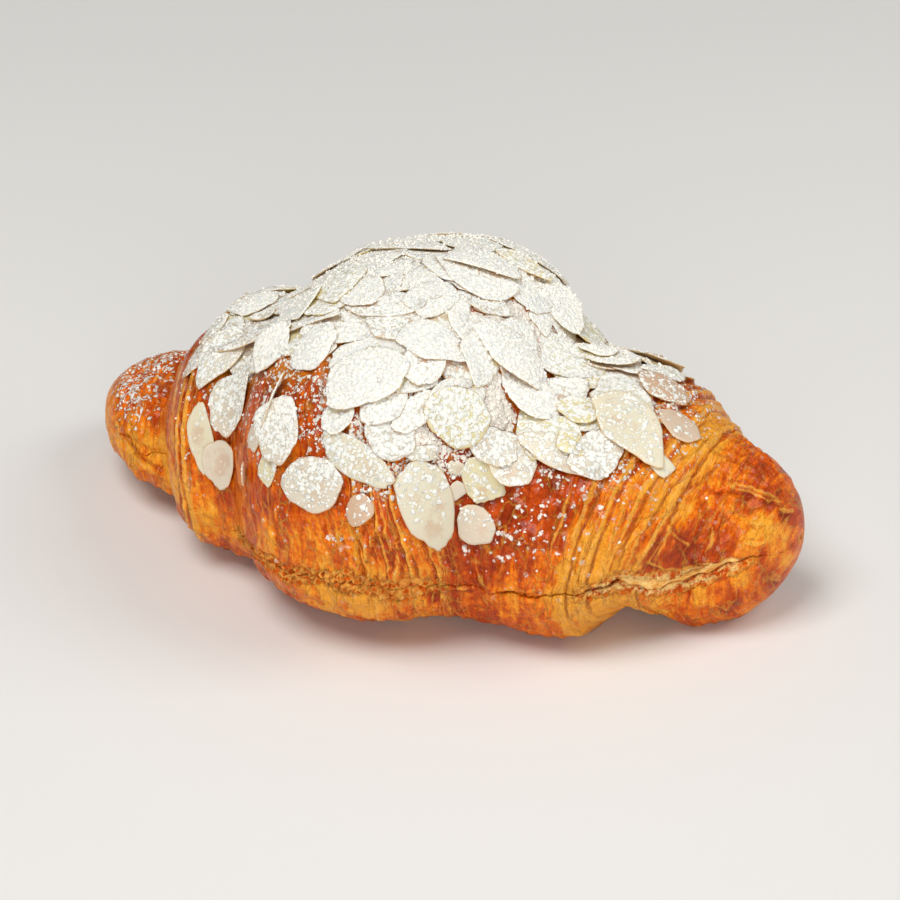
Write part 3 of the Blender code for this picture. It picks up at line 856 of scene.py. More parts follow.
@dataclass
class Dough:
    """The shape of the whole croissant, worked out as for its solids, with finer relief."""
    axis_y: float = 0.0006
    bow: float = 0.011
    spine: float = 0.020
    spine_left: float = 0.0165
    crack: float = 0.00020
    cream: float = 0.0012
    cream_showing: float = 0.0017
    fit_gap: float = 0.00008
    pile_height: float = 0.003
    pile_from: float = -0.050
    pile_to: float = 0.056
    rolls: tuple[Roll, ...] = (
        Roll(-HALF_LENGTH, -0.0187, 0.0215, 0.0262, 0.0292, 2.5, 0.003),
        Roll(-0.0635, -0.0069, 0.0352, 0.0300, 0.0494, 3.4),
        Roll(-0.0393, 0.0371, 0.0529, 0.0523, 0.0686, 2.54),
        Roll(0.0025, 0.0752, 0.0380, 0.0375, 0.0493, 2.56),
        Roll(0.0383, HALF_LENGTH, 0.0197, 0.0170, 0.0410, 2.6),
    )
    notch: Notch = Notch(0.0599, 0.0063, 0.0068)
    edges: tuple[PlyEdge, ...] = tuple(PlyEdge(*row) for row in (
        (-0.0475, -1, 0.0014), (-0.0445, -1, 0.0020), (0.0115, -1, 0.0009), (0.0155, -1, 0.0009),
        (0.0195, -1, 0.0009), (0.0240, -1, 0.0011), (0.0510, 1, 0.0010), (0.0550, 1, 0.0010),
        (0.0590, 1, 0.0010), (0.0635, 1, 0.0015), (0.0765, 1, 0.0006),
    ))
    zones: tuple[PlyZone, ...] = tuple(PlyZone(*row) for row in (
        (-0.088, -0.050, -1, 4, 0.00020, 0.15), (-0.050, -0.040, -1, 4, 0.0005, 0.7),
        (-0.038, 0.008, -1, 7, 0.00025, 0.22), (0.009, 0.028, -1, 9, 0.0005, 0.9),
        (0.030, 0.047, 1, 3, 0.00015, 0.12), (0.047, 0.066, 1, 8, 0.0005, 1.0),
        (0.068, 0.089, 1, 2, 0.0002, 0.2),
    ))
    creases: tuple[Crease, ...] = (
        Crease(0.0745, 0.0905, math.radians(62.0), 0.0030),
        Crease(-0.086, -0.052, math.radians(12.0), 0.0012),
    )
    cut: tuple[tuple[float, float], ...] = (
        (-HALF_LENGTH, 0.0170), (-0.078, 0.0195), (-0.068, 0.0168), (-0.051, 0.0200),
        (-0.034, 0.0148), (-0.015, 0.0195), (0.010, 0.0212), (0.036, 0.0175),
        (0.061, 0.0213), (0.0695, 0.0162), (0.085, 0.0235), (HALF_LENGTH, 0.0205))
    lean_stops: tuple[tuple[float, float], ...] = (
        (-HALF_LENGTH, 0.0), (-0.0445, -0.008), (0.012, -0.014), (0.024, -0.012),
        (0.038, 0.0), (0.051, 0.004), (0.064, 0.007), (0.078, 0.001), (HALF_LENGTH, 0.0))
    lean_past_top: float = 0.35
    spine_rises: tuple[float, float] = (-0.038, -0.008)
    cream_span: Span = (0.056, 0.063, 0.082, 0.089)
    corner: int = 14
    opening: float = 0.006
    widest: float = 0.42
    round_above: float = 2.15
    round_below: float = 2.7
    rim_search: tuple[float, float] = (-1.45, 1.0)
    fine_edges: list[PlyEdge] = field(default_factory=list)

    def __post_init__(self) -> None:
        """Scatter the thin plies over their zones."""
        draw = random.Random(5)
        for zone in self.zones:
            pitch = (zone.end - zone.start) / zone.count
            for number in range(zone.count):
                station = zone.start + pitch * (number + draw.uniform(0.2, 0.8))
                depth = zone.depth * draw.uniform(0.5, 1.4)
                self.fine_edges.append(PlyEdge(station, zone.falls, depth, draw.uniform(0.7, 1.8) * pitch,
                                               0.0009, draw.uniform(0.3, 1.0)))

    def spine_height(self, x: Array) -> Array:
        """Height of the line on which both tips end."""
        return self.spine_left + (self.spine - self.spine_left) * ease(x, *self.spine_rises)

    def tip_fade(self, x: Array) -> Array:
        """0 at both tips, 1 along the middle."""
        return 1.0 - (np.abs(x) / HALF_LENGTH) ** 8

    def cut_height(self, x: Array) -> Array:
        """Height of the knife cut.

        Args:
            x: Places along the croissant.

        Returns:
            The height at each.
        """
        height = np.full_like(x, self.cut[0][1])
        for (start, low), (end, high) in zip(self.cut, self.cut[1:]):
            height = height + (high - low) * ease(x, start, end)
        ragged = np.stack([x, 0.3 * x, np.zeros_like(x)], axis=-1)
        height = height + 0.0010 * noise_field(ragged, 0.0042, 1.3)
        height = height + 0.0006 * noise_field(ragged, 0.0012, 2.1)
        spine = self.spine_height(x)
        return spine + (height - spine) * self.tip_fade(x)

    def section(self, x: Array, angle: Array) -> tuple[Array, Array, Array, Array]:
        """The section of the croissant, as the soft envelope of its rolls.

        Args:
            x: Places along the croissant.
            angle: Angles round the section; the middle rolls lie wider open at the top.

        Returns:
            Front and back reach, height of the top and of the underside.
        """
        def blend(values: Sequence[Array]) -> Array:
            """The largest value, with a soft corner where two meet."""
            return np.sum(np.array(values) ** self.corner, axis=0) ** (1.0 / self.corner)
        spine = self.spine_height(x)
        parts = []
        for roll in self.rolls:
            middle, half = 0.5 * (roll.start + roll.end), 0.5 * (roll.end - roll.start)
            if abs(middle) < 0.5 * HALF_LENGTH:
                half = half + self.opening * (np.sin(angle) - 0.2)
            fullness = np.sqrt(np.clip(1.0 - np.abs((x - middle) / half) ** roll.bluntness, 0.0, None))
            reaches = (roll.front, roll.back, roll.height - spine, spine - roll.lift)
            parts.append([fullness * reach for reach in reaches])
        front, back, rise, drop = (blend(values) for values in zip(*parts))
        under = spine - drop
        raised = np.exp(-((x - self.notch.station) / self.notch.half_width) ** 2)
        under = under + raised * (self.notch.height - np.minimum(under, 0.0))
        return front, back, spine + rise, under

    def lean(self, station: Array, angle: Array) -> Array:
        """How far a ply edge has moved along X.

        Args:
            station: Where the edge starts at the front rim.
            angle: The angle round the section that it has reached.

        Returns:
            The way along X in metres.
        """
        at_top = np.interp(station, *zip(*self.lean_stops))
        cosine, sine = np.cos(angle), np.sin(angle)
        back = 1.0 + self.lean_past_top * (1.0 - sine)
        under = (1.0 + self.lean_past_top) * 0.5 * (1.0 - cosine)
        return at_top * np.where(sine < 0.0, under, np.where(cosine >= 0.0, sine, back))

    def smooth_skin(self, station: Array, angle: Array) -> Array:
        """The skin without its plies.

        Args:
            station: Where a line round the skin starts at the front.
            angle: The angle round the section: 0 is the front, a quarter turn the top.

        Returns:
            The skin's points.
        """
        x = station + self.lean(station, angle)
        front, back, top, under = self.section(x, angle)
        widest = under + self.widest * (top - under)
        cosine, sine = np.cos(angle), np.sin(angle)
        above = sine >= 0.0
        roundness = np.where(above, self.round_above, self.round_below)
        y = self.axis_y + self.bow * (x / HALF_LENGTH) ** 2
        y = y - np.where(cosine >= 0.0, front, back) * np.sign(cosine) * np.abs(cosine) ** (2.0 / roundness)
        swing = np.abs(sine) ** (2.0 / roundness)
        z = np.where(above, widest + (top - widest) * swing, widest - (widest - under) * swing)
        return np.stack([x + 0.0 * y, y, z], axis=-1)

    def skin_normal(self, station: Array, angle: Array) -> Array:
        """Outward direction of the smooth skin.

        Args:
            station: Stations of the points.
            angle: Their angles round the section.

        Returns:
            Vectors of length 1.
        """
        step = 1e-4
        along = self.smooth_skin(station + step, angle) - self.smooth_skin(station - step, angle)
        around = self.smooth_skin(station, angle + step) - self.smooth_skin(station, angle - step)
        return unit(np.cross(along, around))

    def angle_at_height(self, station: Array, height: Array, low: float, high: float) -> Array:
        """Where the smooth skin passes a height, found by halving.

        Args:
            station: Stations of the lines round the skin.
            height: The height, one for each.
            low: Angle at one end of the search.
            high: Angle at its other end.

        Returns:
            The angle on each line.
        """
        low_end, high_end = np.full_like(station, low), np.full_like(station, high)
        rising = self.smooth_skin(station, high_end)[..., 2] > self.smooth_skin(station, low_end)[..., 2]
        for _ in range(40):
            middle = 0.5 * (low_end + high_end)
            go_up = (self.smooth_skin(station, middle)[..., 2] < height) == rising
            low_end = np.where(go_up, middle, low_end)
            high_end = np.where(go_up, high_end, middle)
        return 0.5 * (low_end + high_end)

    def cream_shows(self, x: Array) -> Array:
        """1 where the cream comes out of the cut at the front right, 0 elsewhere."""
        broken = 0.72 + 0.40 * np.sin(x * 910.0 + 1.0) * np.sin(x * 430.0 + 0.6)
        return window(x, *self.cream_span) * broken

    @staticmethod
    def open_cut(x: Array) -> Array:
        """1 where the crusts stand apart at the cut, near 0 where they have baked together."""
        return 0.06 + 0.94 * ease(x, -0.034, -0.022) * (1.0 - ease(x, 0.080, 0.088))

    def cut_half(self, x: Array, across: Array) -> Array:
        """Half of the opening between the crusts.

        Args:
            x: Places along the croissant.
            across: From -1 at the front rim to 1 at the back one.

        Returns:
            Half of its height at each place.
        """
        shows = self.cream_shows(x) * (across < 0.0)
        crack = self.crack * self.open_cut(x) * (0.75 + 0.5 * np.sin(x * 260.0) * np.sin(x * 97.0 + 1.0))
        rim = crack + (self.cream_showing - crack) * shows
        inside = 1.0 - ease(np.abs(across), 0.86, 0.99)
        half = rim + (self.cream - rim) * inside * (1.0 - shows)
        return half * self.tip_fade(x) + 0.5 * self.fit_gap

    def rim_angles(self, stations: Array, side: int) -> tuple[Array, Array]:
        """Where the knife cut meets the skin.

        Args:
            stations: Stations of the rings.
            side: 1 over the cut, -1 under it, 0 in it.

        Returns:
            Angles of the front rim and of the back rim.
        """
        cut, (low, high) = self.cut_height(stations), self.rim_search
        front = self.angle_at_height(stations, cut + side * self.cut_half(stations, -1.0), low, high)
        back = self.angle_at_height(stations, cut + side * self.cut_half(stations, 1.0),
                                    math.pi - low, math.pi - high)
        return front, back

    def pile(self, x: Array, angle: Array) -> Array:
        """Share of the baked-on cream under the almonds, 0 to 1."""
        along = window(x, self.pile_from, self.pile_from + 0.014, self.pile_to - 0.014, self.pile_to)
        return along * ease(np.sin(angle), 0.45, 0.85)


@dataclass
class Skin:
    """A patch of crust: its places and everything that its material reads."""
    points: Array
    values: dict[str, Array]


# how brown the crust is along the croissant, 0 pale to 1 dark, by station
BAKE_STOPS = (
    (-HALF_LENGTH, 0.20), (-0.070, 0.28), (-0.050, 0.46), (-0.043, 0.42), (-0.025, 0.50),
    (0.005, 0.40), (0.012, 0.34), (0.022, 0.38), (0.028, 0.60), (0.045, 0.46), (0.051, 0.12),
    (0.062, 0.02), (0.0655, 0.22), (0.070, 0.46), (0.0755, 0.45), (0.078, 0.36), (0.085, 0.42),
    (HALF_LENGTH, 0.46),
)


@dataclass
class CrustRelief:
    """Fine relief of the crust: plies, skins, blisters and torn crumb."""
    dough: Dough
    view: View
    torn_left: Span = (-0.036, -0.026, 0.020, 0.030)
    torn_right: Span = (0.050, 0.058, 0.080, 0.088)
    bulge: Span = (0.058, 0.066, 0.078, 0.084)
    tone_steps: tuple[float, float] = (0.18, 0.1)

    def plies(self, station: Array, arc: Array) -> Array:
        """Height of all ply edges.

        Args:
            station: Station of each ring.
            arc: Distance of each point from the front rim along the skin.

        Returns:
            Height in metres.
        """
        height = np.zeros(arc.shape)
        columns = np.broadcast_to(station, arc.shape)
        for number, edge in enumerate(self.dough.edges + tuple(self.dough.fine_edges)):
            near = np.abs(columns[0] - edge.station) < edge.reach * 5.0 + edge.wander * 2.0
            if not near.any():
                continue
            part = arc[:, near]
            track = np.stack([part, np.full_like(part, 3.7 * number), np.zeros_like(part)], axis=-1)
            broad, small, gaps = (noise_field(track / np.array([lump, 1.0, 1.0]), 1.0, shift)
                                  for lump, shift in ((0.007, 0.31), (0.0016, 0.57), (0.011, 0.77)))
            wander = edge.wander * broad
            wander += 0.35 * edge.wander * small
            presence = 1.0 - edge.broken * (1.0 - ease(gaps, -0.25, 0.2))
            behind = (edge.station + wander - columns[:, near]) * edge.falls
            ply = edge.depth * presence * np.exp(-np.clip(behind, 0.0, None) / edge.reach)
            height[:, near] += ply * ease(behind, -0.00022, 0.00005)
        return height

    def seen(self, points: Array, normals: Array) -> tuple[Array, Array]:
        """Where points come to lie in the photograph.

        Args:
            points: Places on the skin.
            normals: Its outward directions there.

        Returns:
            Their pixels, and 1 where the skin faces the camera, 0 where it faces away.
        """
        view = self.view
        from_eye = points - np.array(view.place)
        scale = view.pixels_per_unit / -(from_eye @ np.array(view.back))
        across, up = from_eye @ np.array(view.right), from_eye @ np.array(view.up)
        pixels = np.stack([view.frame / 2 + across * scale, view.frame / 2 - up * scale], axis=-1)
        return pixels, ease(normals @ np.array(view.back), 0.02, 0.25)

    def spots(self, points: Array, normals: Array) -> Array:
        """How much darker or lighter the traced patches are, painted shade and highlight among them.

        Args:
            points: Places on the skin.
            normals: Its outward directions there.

        Returns:
            What they add to the bake.
        """
        seen, facing = self.seen(points, normals)
        seen = seen + 5.0 * noise_field(points, 0.004, 1.7)[..., None]
        return sum(spot.bake_and_light_at(seen) for spot in BAKE_AND_PAINTED_LIGHT_SPOTS) * facing

    def folds(self, points: Array, normals: Array) -> tuple[Array, Array]:
        """Folds and tears traced in the photograph.

        Args:
            points: Places on the skin.
            normals: Its outward directions there.

        Returns:
            Their height in metres, and how much lighter, or darker, they make the crust: painted highlight
            on their lips and painted shade at their feet.
        """
        seen, facing = self.seen(points, normals)
        pixel = MM * self.view.pixels_per_unit / self.view.distance
        wander = 0.35 * noise_field(points, 0.0022, 8.8) + 0.2 * noise_field(points, 0.0009, 2.8)
        height, shade = np.zeros(facing.shape), np.zeros(facing.shape)
        for fold in FOLDS:
            line = np.array(fold.line, dtype=float)
            runs = np.concatenate([[0.0], np.cumsum(np.linalg.norm(np.diff(line, axis=0), axis=1))])
            nearest = np.full(facing.shape, np.inf)
            offset, passed = np.zeros(facing.shape), np.zeros(facing.shape)
            for start, end, run in zip(line, line[1:], runs):
                way = (end - start) / np.linalg.norm(end - start)
                gone = np.clip((seen - start) @ way, 0.0, np.linalg.norm(end - start))
                away = seen - start - gone[..., None] * way
                distance = np.linalg.norm(away, axis=-1)
                side = np.where(way[0] * away[..., 1] - way[1] * away[..., 0] >= 0.0, 1.0, -1.0)
                closer = distance < nearest
                nearest = np.where(closer, distance, nearest)
                offset = np.where(closer, distance * side / pixel, offset)
                passed = np.where(closer, run + gone, passed)
            strength = facing * window(passed / runs[-1], 0.0, 0.14, 0.86, 1.0)
            offset = offset + wander
            gentle = np.exp(-np.clip(offset, 0.0, None) / fold.reach)
            height += strength * fold.height * MM * gentle * (1.0 - ease(-offset, 0.0, fold.steep))
            # painted highlight on the fold's lip and painted shade at its foot, stored with the relief
            lip, foot = np.exp(-((offset - 0.15) / 0.40) ** 2), np.exp(-((offset + 0.65) / 0.5) ** 2)
            shade += strength * np.clip(fold.height, -1.2, 1.2) * (lip - 1.3 * foot)
        return height, shade

    def dress(self, station: Array, angle: Array) -> Skin:
        """Raise the smooth skin by its relief and work out what its material reads.

        Args:
            station: Stations, one for each ring.
            angle: Angles, one row for each line along the croissant.

        Returns:
            The finished skin.
        """
        dough = self.dough
        smooth, normals = dough.smooth_skin(station, angle), dough.skin_normal(station, angle)
        steps = np.linalg.norm(np.diff(smooth, axis=0), axis=-1)
        arc = np.concatenate([np.zeros((1, steps.shape[1])), np.cumsum(steps, axis=0)])
        x, rim = smooth[..., 0], np.minimum(arc, arc[-1] - arc)
        flow = np.stack([np.broadcast_to(station, arc.shape), arc * 0.16, np.zeros(arc.shape)], axis=-1)
        pile = dough.pile(np.broadcast_to(station, arc.shape), angle)
        crumb = self.crumb(x, angle, rim)
        tips = ease(-x, 0.060, 0.070) + ease(x, 0.068, 0.078)
        patches, tone, small_tone = self.skins(flow, self.flaky(x, angle, rim))
        folds, shade = self.folds(smooth, normals)
        plies = self.plies(station, arc) * (0.45 + 0.55 * ease(angle, -0.45, 0.1))
        streaks = 0.00022 * noise_field(flow, (0.0022, 0.0025, 1.0), 7.7)
        holes = 0.0011 * crumb.clip(0.0, 1.0) * (1.0 - ease(cell_field(smooth, 0.0019, 5.1)[0], 0.0, 0.35))
        fine = plies + patches + streaks + self.blisters(smooth, tips, crumb) + folds - holes
        creases = sum(crease.depth_at(x, angle) for crease in dough.creases)
        fine += 0.0012 * pile * noise_field(smooth, 0.006, 9.1) - creases
        lumps = 0.0009 * noise_field(smooth, 0.018) + (0.0005 + 0.0007 * tips) * noise_field(smooth, 0.007)
        lip = 0.00035 * np.exp(-rim / 0.0005) * dough.open_cut(x)
        rise = (fine + lumps) * dough.tip_fade(x) + dough.pile_height * pile - lip
        # the relief, with the folds' shade, becomes painted highlight on raised edges and painted shade in
        # hollows in the material
        relief = self.high_pass(plies + 0.6 * patches) / 0.00022 * (1.0 - 0.6 * tips.clip(0.0, 1.0))
        # painted shade: the crust under the heap of almonds is made darker
        foot = heap_foot(x)
        under_heap = ease(np.degrees(angle), foot - 44.0, foot - 14.0) * ease(x, -0.062, -0.045)
        large, small = self.tone_steps
        bake = self.bake(station, x, angle, rim) + large * (tone - 0.5) + small * (small_tone - 0.5)
        # the traced patches add real bake together with painted shade and painted highlight
        bake += 0.28 * under_heap * (1.0 - ease(x, 0.058, 0.070)) + self.spots(smooth, normals)
        return Skin(smooth + normals * np.array((0.0, 1.0, 1.0)) * rise[..., None], {
            "flow": flow,
            "relief": np.clip(relief + shade, -1.5, 1.5),
            "bake": bake,
            "plies": np.broadcast_to(sum(zone.strength_at(station) for zone in dough.zones), arc.shape),
            "crumb": crumb,
            "pile": pile,
        })

    @staticmethod
    def skins(flow: Array, flaky: Array) -> tuple[Array, Array, Array]:
        """Large and small skins, each at its own height and in its own tone.

        Args:
            flow: Coordinates along the dough's layers.
            flaky: Where skins stand off more, 0 to 1.

        Returns:
            Their height in metres, the tone of the large ones and that of the small ones, 0 to 1.
        """
        border, tone = cell_field(flow, (0.0042, 0.0030, 1.0), 0.4)
        small_border, small_tone = cell_field(flow + 0.37, (0.0019, 0.0016, 1.0), 2.4)
        height = (tone - 0.5) * (0.00012 + 0.0005 * flaky) * ease(border, 0.0, 0.12)
        height += (small_tone - 0.5) * (0.00006 + 0.0003 * flaky) * ease(small_border, 0.0, 0.12)
        return height, tone, small_tone

    @staticmethod
    def blisters(points: Array, tips: Array, crumb: Array) -> Array:
        """Blisters all over, wrinkles between them and the torn end of the blunt tip.

        Args:
            points: Places on the smooth skin.
            tips: 1 on the two tips.
            crumb: Where the crust is torn open, and has none.

        Returns:
            Their height in metres.
        """
        height = 0.0006 * ease(noise_field(points, 0.0045, 3.3), 0.15, 0.6) * (1.0 - crumb.clip(0.0, 1.0))
        height += (0.0003 + 0.0004 * tips) * (1.0 - 3.0 * np.abs(noise_field(points, 0.0030, 6.6)))
        torn = 0.0010 * noise_field(points, 0.0042, 1.1) + 0.0006 * noise_field(points, 0.0018, 4.1)
        return height + ease(points[..., 0], 0.080, 0.087) * torn

    @staticmethod
    def high_pass(height: Array, width: int = 3) -> Array:
        """What stands above or below its surroundings along the croissant.

        Args:
            height: Height of the relief.
            width: How many neighbours on either side count.

        Returns:
            The height over their average.
        """
        sums = np.cumsum(np.pad(height, ((0, 0), (width, width)), mode="edge"), axis=1)
        before = np.pad(sums, ((0, 0), (1, 0)))[:, :-2 * width - 1]
        return height - (sums[:, 2 * width:] - before) / (2 * width + 1)

    @staticmethod
    def flaky(x: Array, angle: Array, rim: Array) -> Array:
        """1 where thin skins have come off: on the blunt tip and along the cut."""
        tip = ease(x, 0.070, 0.078) * (1.0 - ease(np.abs(angle - 0.75), 0.5, 0.9))
        return np.clip(tip + 0.8 * (1.0 - ease(rim, 0.001, 0.008)), 0.0, 1.0)

    def crumb(self, x: Array, angle: Array, rim: Array) -> Array:
        """Where the inside of the dough shows, torn open along the cut.

        Args:
            x: Places along the croissant.
            angle: Angles round its section.
            rim: Distance from the cut's rim.

        Returns:
            0 on whole crust, 1 on crumb, up to 2 where cream lies on it.
        """
        front = np.cos(angle).clip(0.0, 1.0)
        left, right = window(x, *self.torn_left) * front, window(x, *self.torn_right) * front
        wander = 0.0015 * noise_field(np.stack([x, rim, x * 0.0], axis=-1), 0.006, 4.4)
        reach = 1.0 - ease(rim + wander, 0.0015, 0.0042)
        creamy = right * (1.0 - ease(rim + 0.6 * wander, 0.0006, 0.0026))
        return (np.clip(left + 0.8 * right, 0.0, 1.0) * reach + creamy) * (angle < 0.2)

    def bake(self, station: Array, x: Array, angle: Array, rim: Array) -> Array:
        """How brown the crust is.

        Args:
            station: Stations of the rings.
            x: Places along the croissant.
            angle: Angles round its section.
            rim: Distance from the cut's rim.

        Returns:
            0 for pale to 1 for dark.
        """
        along = np.interp(station, *zip(*BAKE_STOPS))
        bulge = window(x, *self.bulge)
        low = (1.0 - ease(rim, 0.0, 0.010)) * (1.0 - bulge)
        along = along + bulge * (0.16 - 0.36 * ease(angle, 0.45, 0.85)) * (angle > 0.0)
        return along - 0.18 * low + 0.12 * ease(np.sin(angle), 0.5, 1.0)


# ---- crusts and cream ----
@dataclass
class Crust:
    """One half of the croissant, over or under the knife cut."""
    name: str
    node: str
    slot: str
    side: int
    relief: CrustRelief
    finish: CrustFinish
    rings: int
    lines: int
    cut_lines: int = 12
    reach: float = 0.9985 * HALF_LENGTH
    closer_in_front: float = 1.3
    finer: tuple[tuple[float, float], ...] = ((0.002, 0.030), (0.044, 0.070))

    def stations(self) -> Array:
        """Stations of the rings, closer at the tips and where the plies' edges show.

        Returns:
            X of each ring at the front rim.
        """
        x, soft = np.linspace(-self.reach, self.reach, 2001), 0.004
        density = 1.0 + 1.2 * ease(np.abs(x), 0.078, 0.089)
        for start, end in self.finer:
            density += 0.8 * window(x, start - soft, start, end, end + soft)
        sums = np.concatenate([[0.0], np.cumsum(0.5 * (density[1:] + density[:-1]))])
        return np.interp(np.linspace(0.0, sums[-1], self.rings), sums, x)

    def build(self) -> Object:
        """Model the crust.

        Returns:
            The crust's object, without its material.
        """
        dough, stations = self.relief.dough, self.stations()
        front, back = dough.rim_angles(stations, self.side)
        end = back if self.side > 0 else back - 2.0 * math.pi
        share = np.linspace(0.0, 1.0, self.lines)[:, None] ** self.closer_in_front
        skin = self.relief.dress(stations, front + share * (end - front))
        rows = skin.points
        across = np.where(share < 0.5, -1.0, 1.0)
        limit = dough.cut_height(rows[..., 0]) + self.side * dough.cut_half(rows[..., 0], across)
        if self.side > 0:
            rows[..., 2] = np.maximum(rows[..., 2], limit)
        else:
            rows[..., 2] = np.clip(rows[..., 2], 0.0, limit)
        rows[[0, -1], :, 2] = limit[[0, -1]]
        values = {label: np.concatenate([value, self.cut_values(label, value)])
                  for label, value in skin.values.items()}
        rows = np.concatenate([rows, self.cut_rows(rows[0], rows[-1])])
        return add_object(self.name, closed_grid(self.name, rows, values))

    def cut_rows(self, front_rim: Array, back_rim: Array) -> Array:
        """Rough face of the cut.

        Args:
            front_rim: Places of the front rim.
            back_rim: Places of the back rim.

        Returns:
            Rows of places from the back rim to the front one.
        """
        dough = self.relief.dough
        rows = []
        for share in np.linspace(1.0, 0.0, self.cut_lines + 2)[1:-1]:
            row = front_rim * (1.0 - share) + back_rim * share
            across = 2.0 * share - 1.0
            rough = np.abs(0.0003 * noise_field(row, 0.003, 1.9) * (1.0 - abs(across)))
            row[:, 2] = dough.cut_height(row[:, 0]) + self.side * (dough.cut_half(row[:, 0], across) + rough)
            rows.append(row)
        return np.array(rows)

    def cut_values(self, label: str, value: Array) -> Array:
        """What the material reads on the cut's face: crumb all over, with the rim's flow."""
        inside = value[0] if label == "flow" else 1.0 if label == "crumb" else 0.0
        return np.broadcast_to(inside, (self.cut_lines, *value.shape[1:]))

    def dress(self, piece: Object) -> None:
        """Give the crust its material and its place in the model.

        Args:
            piece: The crust's object.
        """
        piece.data.materials.append(self.finish.material())
        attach(piece, "root")
        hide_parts(self.node)


@dataclass
class CreamLayer:
    """The almond cream in the cut."""
    relief: CrustRelief
    finish: CreamFinish
    rings: int = 300
    lines: int = 44
    end_margin: float = 0.006
    inside: float = 0.90
    swollen: float = 0.125
    ragged: float = 0.0016
    holes: float = 0.0014
    least_half: float = 0.00005

    def build(self) -> Object:
        """Model the layer, out to the rim and swollen where it shows.

        Returns:
            The layer's object, without its material.
        """
        dough = self.relief.dough
        ends = HALF_LENGTH - self.end_margin
        stations = np.linspace(-ends, ends, self.rings)
        front, back = (dough.smooth_skin(stations, angle) for angle in dough.rim_angles(stations, 0))
        middle = 0.5 * (front + back)
        shows = dough.cream_shows(front[:, 0])
        inside = np.full_like(shows, self.inside)
        front_reach = self.inside + self.swollen * shows
        upper, lower = [], []
        for across in -np.cos(np.linspace(0.0, math.pi, self.lines)):
            edge, reach = (front, front_reach) if across < 0.0 else (back, inside)
            row = middle + (edge - middle) * (abs(across) * reach)[:, None]
            ragged = self.ragged * noise_field(row, 0.0022, 6.1) + 0.5 * self.ragged
            row[:, 1] += ragged * ease(-across, 0.9, 1.0) * shows
            round_off = math.sqrt(max(1.0 - abs(across) ** 40, 0.0))
            half = np.maximum(round_off * (dough.cut_half(row[:, 0], across) - 1.2 * dough.fit_gap), 0.00006)
            for side, rows in ((1, upper), (-1, lower)):
                face = row.copy()
                holes = np.abs(noise_field(face, 0.0014, 2.0 * side)) * self.holes
                depth = half - holes * ease(-across, 0.8, 1.0) * shows
                face[:, 2] = dough.cut_height(row[:, 0]) + side * np.maximum(depth, self.least_half)
                rows.append(face)
        mesh = closed_grid("almond_cream", np.array(upper + lower[::-1]), {})
        return add_object("almond_cream", mesh)

    def dress(self, piece: Object) -> None:
        """Give the cream its material and its place in the model.

        Args:
            piece: The layer's object.
        """
        piece.data.materials.append(self.finish.material())
        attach(piece, "root")
        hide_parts("almond_filling")


# ---- Geometry Nodes ----
class Recipe:
    """A Geometry Nodes tree, built one node at a time."""

    def __init__(self, name: str) -> None:
        """Start a tree that takes a geometry and hands one back.

        Args:
            name: Name of the tree.
        """
        self.group = bpy.data.node_groups.new(name, "GeometryNodeTree")
        self.face = self.group.interface
        for way in ('OUTPUT', 'INPUT'):
            self.face.new_socket("Geometry", in_out=way, socket_type='NodeSocketGeometry')
        self.entry = self.group.nodes.new("NodeGroupInput")
        self.identifiers: dict[str, str] = {}

    def ask(self, name: str, kind: str) -> NodeSocket:
        """Add a named input to the tree, and hand out its socket inside the tree."""
        self.identifiers[name] = self.face.new_socket(name, in_out='INPUT', socket_type=kind).identifier
        return self.entry.outputs[name]

    def node(self, kind: str, settings: dict[str, Any], sockets: dict[Any, Any],
             out: int | str = 0) -> NodeSocket:
        """One output of a new node, as add_node makes it."""
        return add_node(self.group, kind, settings, sockets).outputs[out]

    def attribute(self, name: str, kind: str) -> NodeSocket:
        """Values that the geometry carries."""
        return self.node("GeometryNodeInputNamedAttribute", {"data_type": kind}, {"Name": name})

    def cook(self, source: Object, result: NodeSocket, material: NodeSocket,
             values: dict[str, Any]) -> Object:
        """Realize the instances, evaluate the tree on an object and keep a plain mesh.

        Args:
            source: The object whose mesh goes in; it becomes the finished piece.
            result: The instances.
            material: The input that holds their material.
            values: Values for the tree's named inputs.

        Returns:
            The finished piece.
        """
        real = self.node("GeometryNodeRealizeInstances", {}, {"Geometry": result})
        real = self.node("GeometryNodeSetMaterial", {}, {"Geometry": real, "Material": material})
        exit_node = self.group.nodes.new("NodeGroupOutput")
        self.group.links.new(real, exit_node.inputs["Geometry"])
        modifier = source.modifiers.new(self.group.name, 'NODES')
        modifier.node_group = self.group
        for name, value in values.items():
            modifier[self.identifiers[name]] = value
        graph = bpy.context.evaluated_depsgraph_get()
        mesh = bpy.data.meshes.new_from_object(source.evaluated_get(graph), depsgraph=graph)
        mesh.name = source.name
        source.modifiers.clear()
        source.data = mesh
        mesh.shade_smooth()
        return source


# ---- camera and studio ----
@dataclass
class View:
    """The photograph's view: where the camera stands, and which way its pixels look."""
    azimuth: float = math.radians(25.0)
    elevation: float = math.radians(30.0)
    distance: float = 0.75
    lens: float = 126.0
    sensor: float = 36.0
    frame: int = 900
    aim: Vector = field(default_factory=lambda: Vector((0.0040, 0.0071, 0.0243)))

    def __post_init__(self) -> None:
        """Work out the camera's axes."""
        level, rise = math.cos(self.elevation), math.sin(self.elevation)
        self.back = Vector((math.sin(self.azimuth) * level, -math.cos(self.azimuth) * level, rise))
        self.right = Vector((math.cos(self.azimuth), math.sin(self.azimuth), 0.0))
        self.up = self.back.cross(self.right)
        self.place = self.aim + self.back * self.distance
        self.pixels_per_unit = self.frame * self.lens / self.sensor

    def ray(self, pixel_x: float, pixel_y: float) -> Vector:
        """Direction in which a pixel of the photograph looks."""
        across, down = ((pixel - self.frame / 2) / self.pixels_per_unit for pixel in (pixel_x, pixel_y))
        return (self.right * across - self.up * down - self.back).normalized()


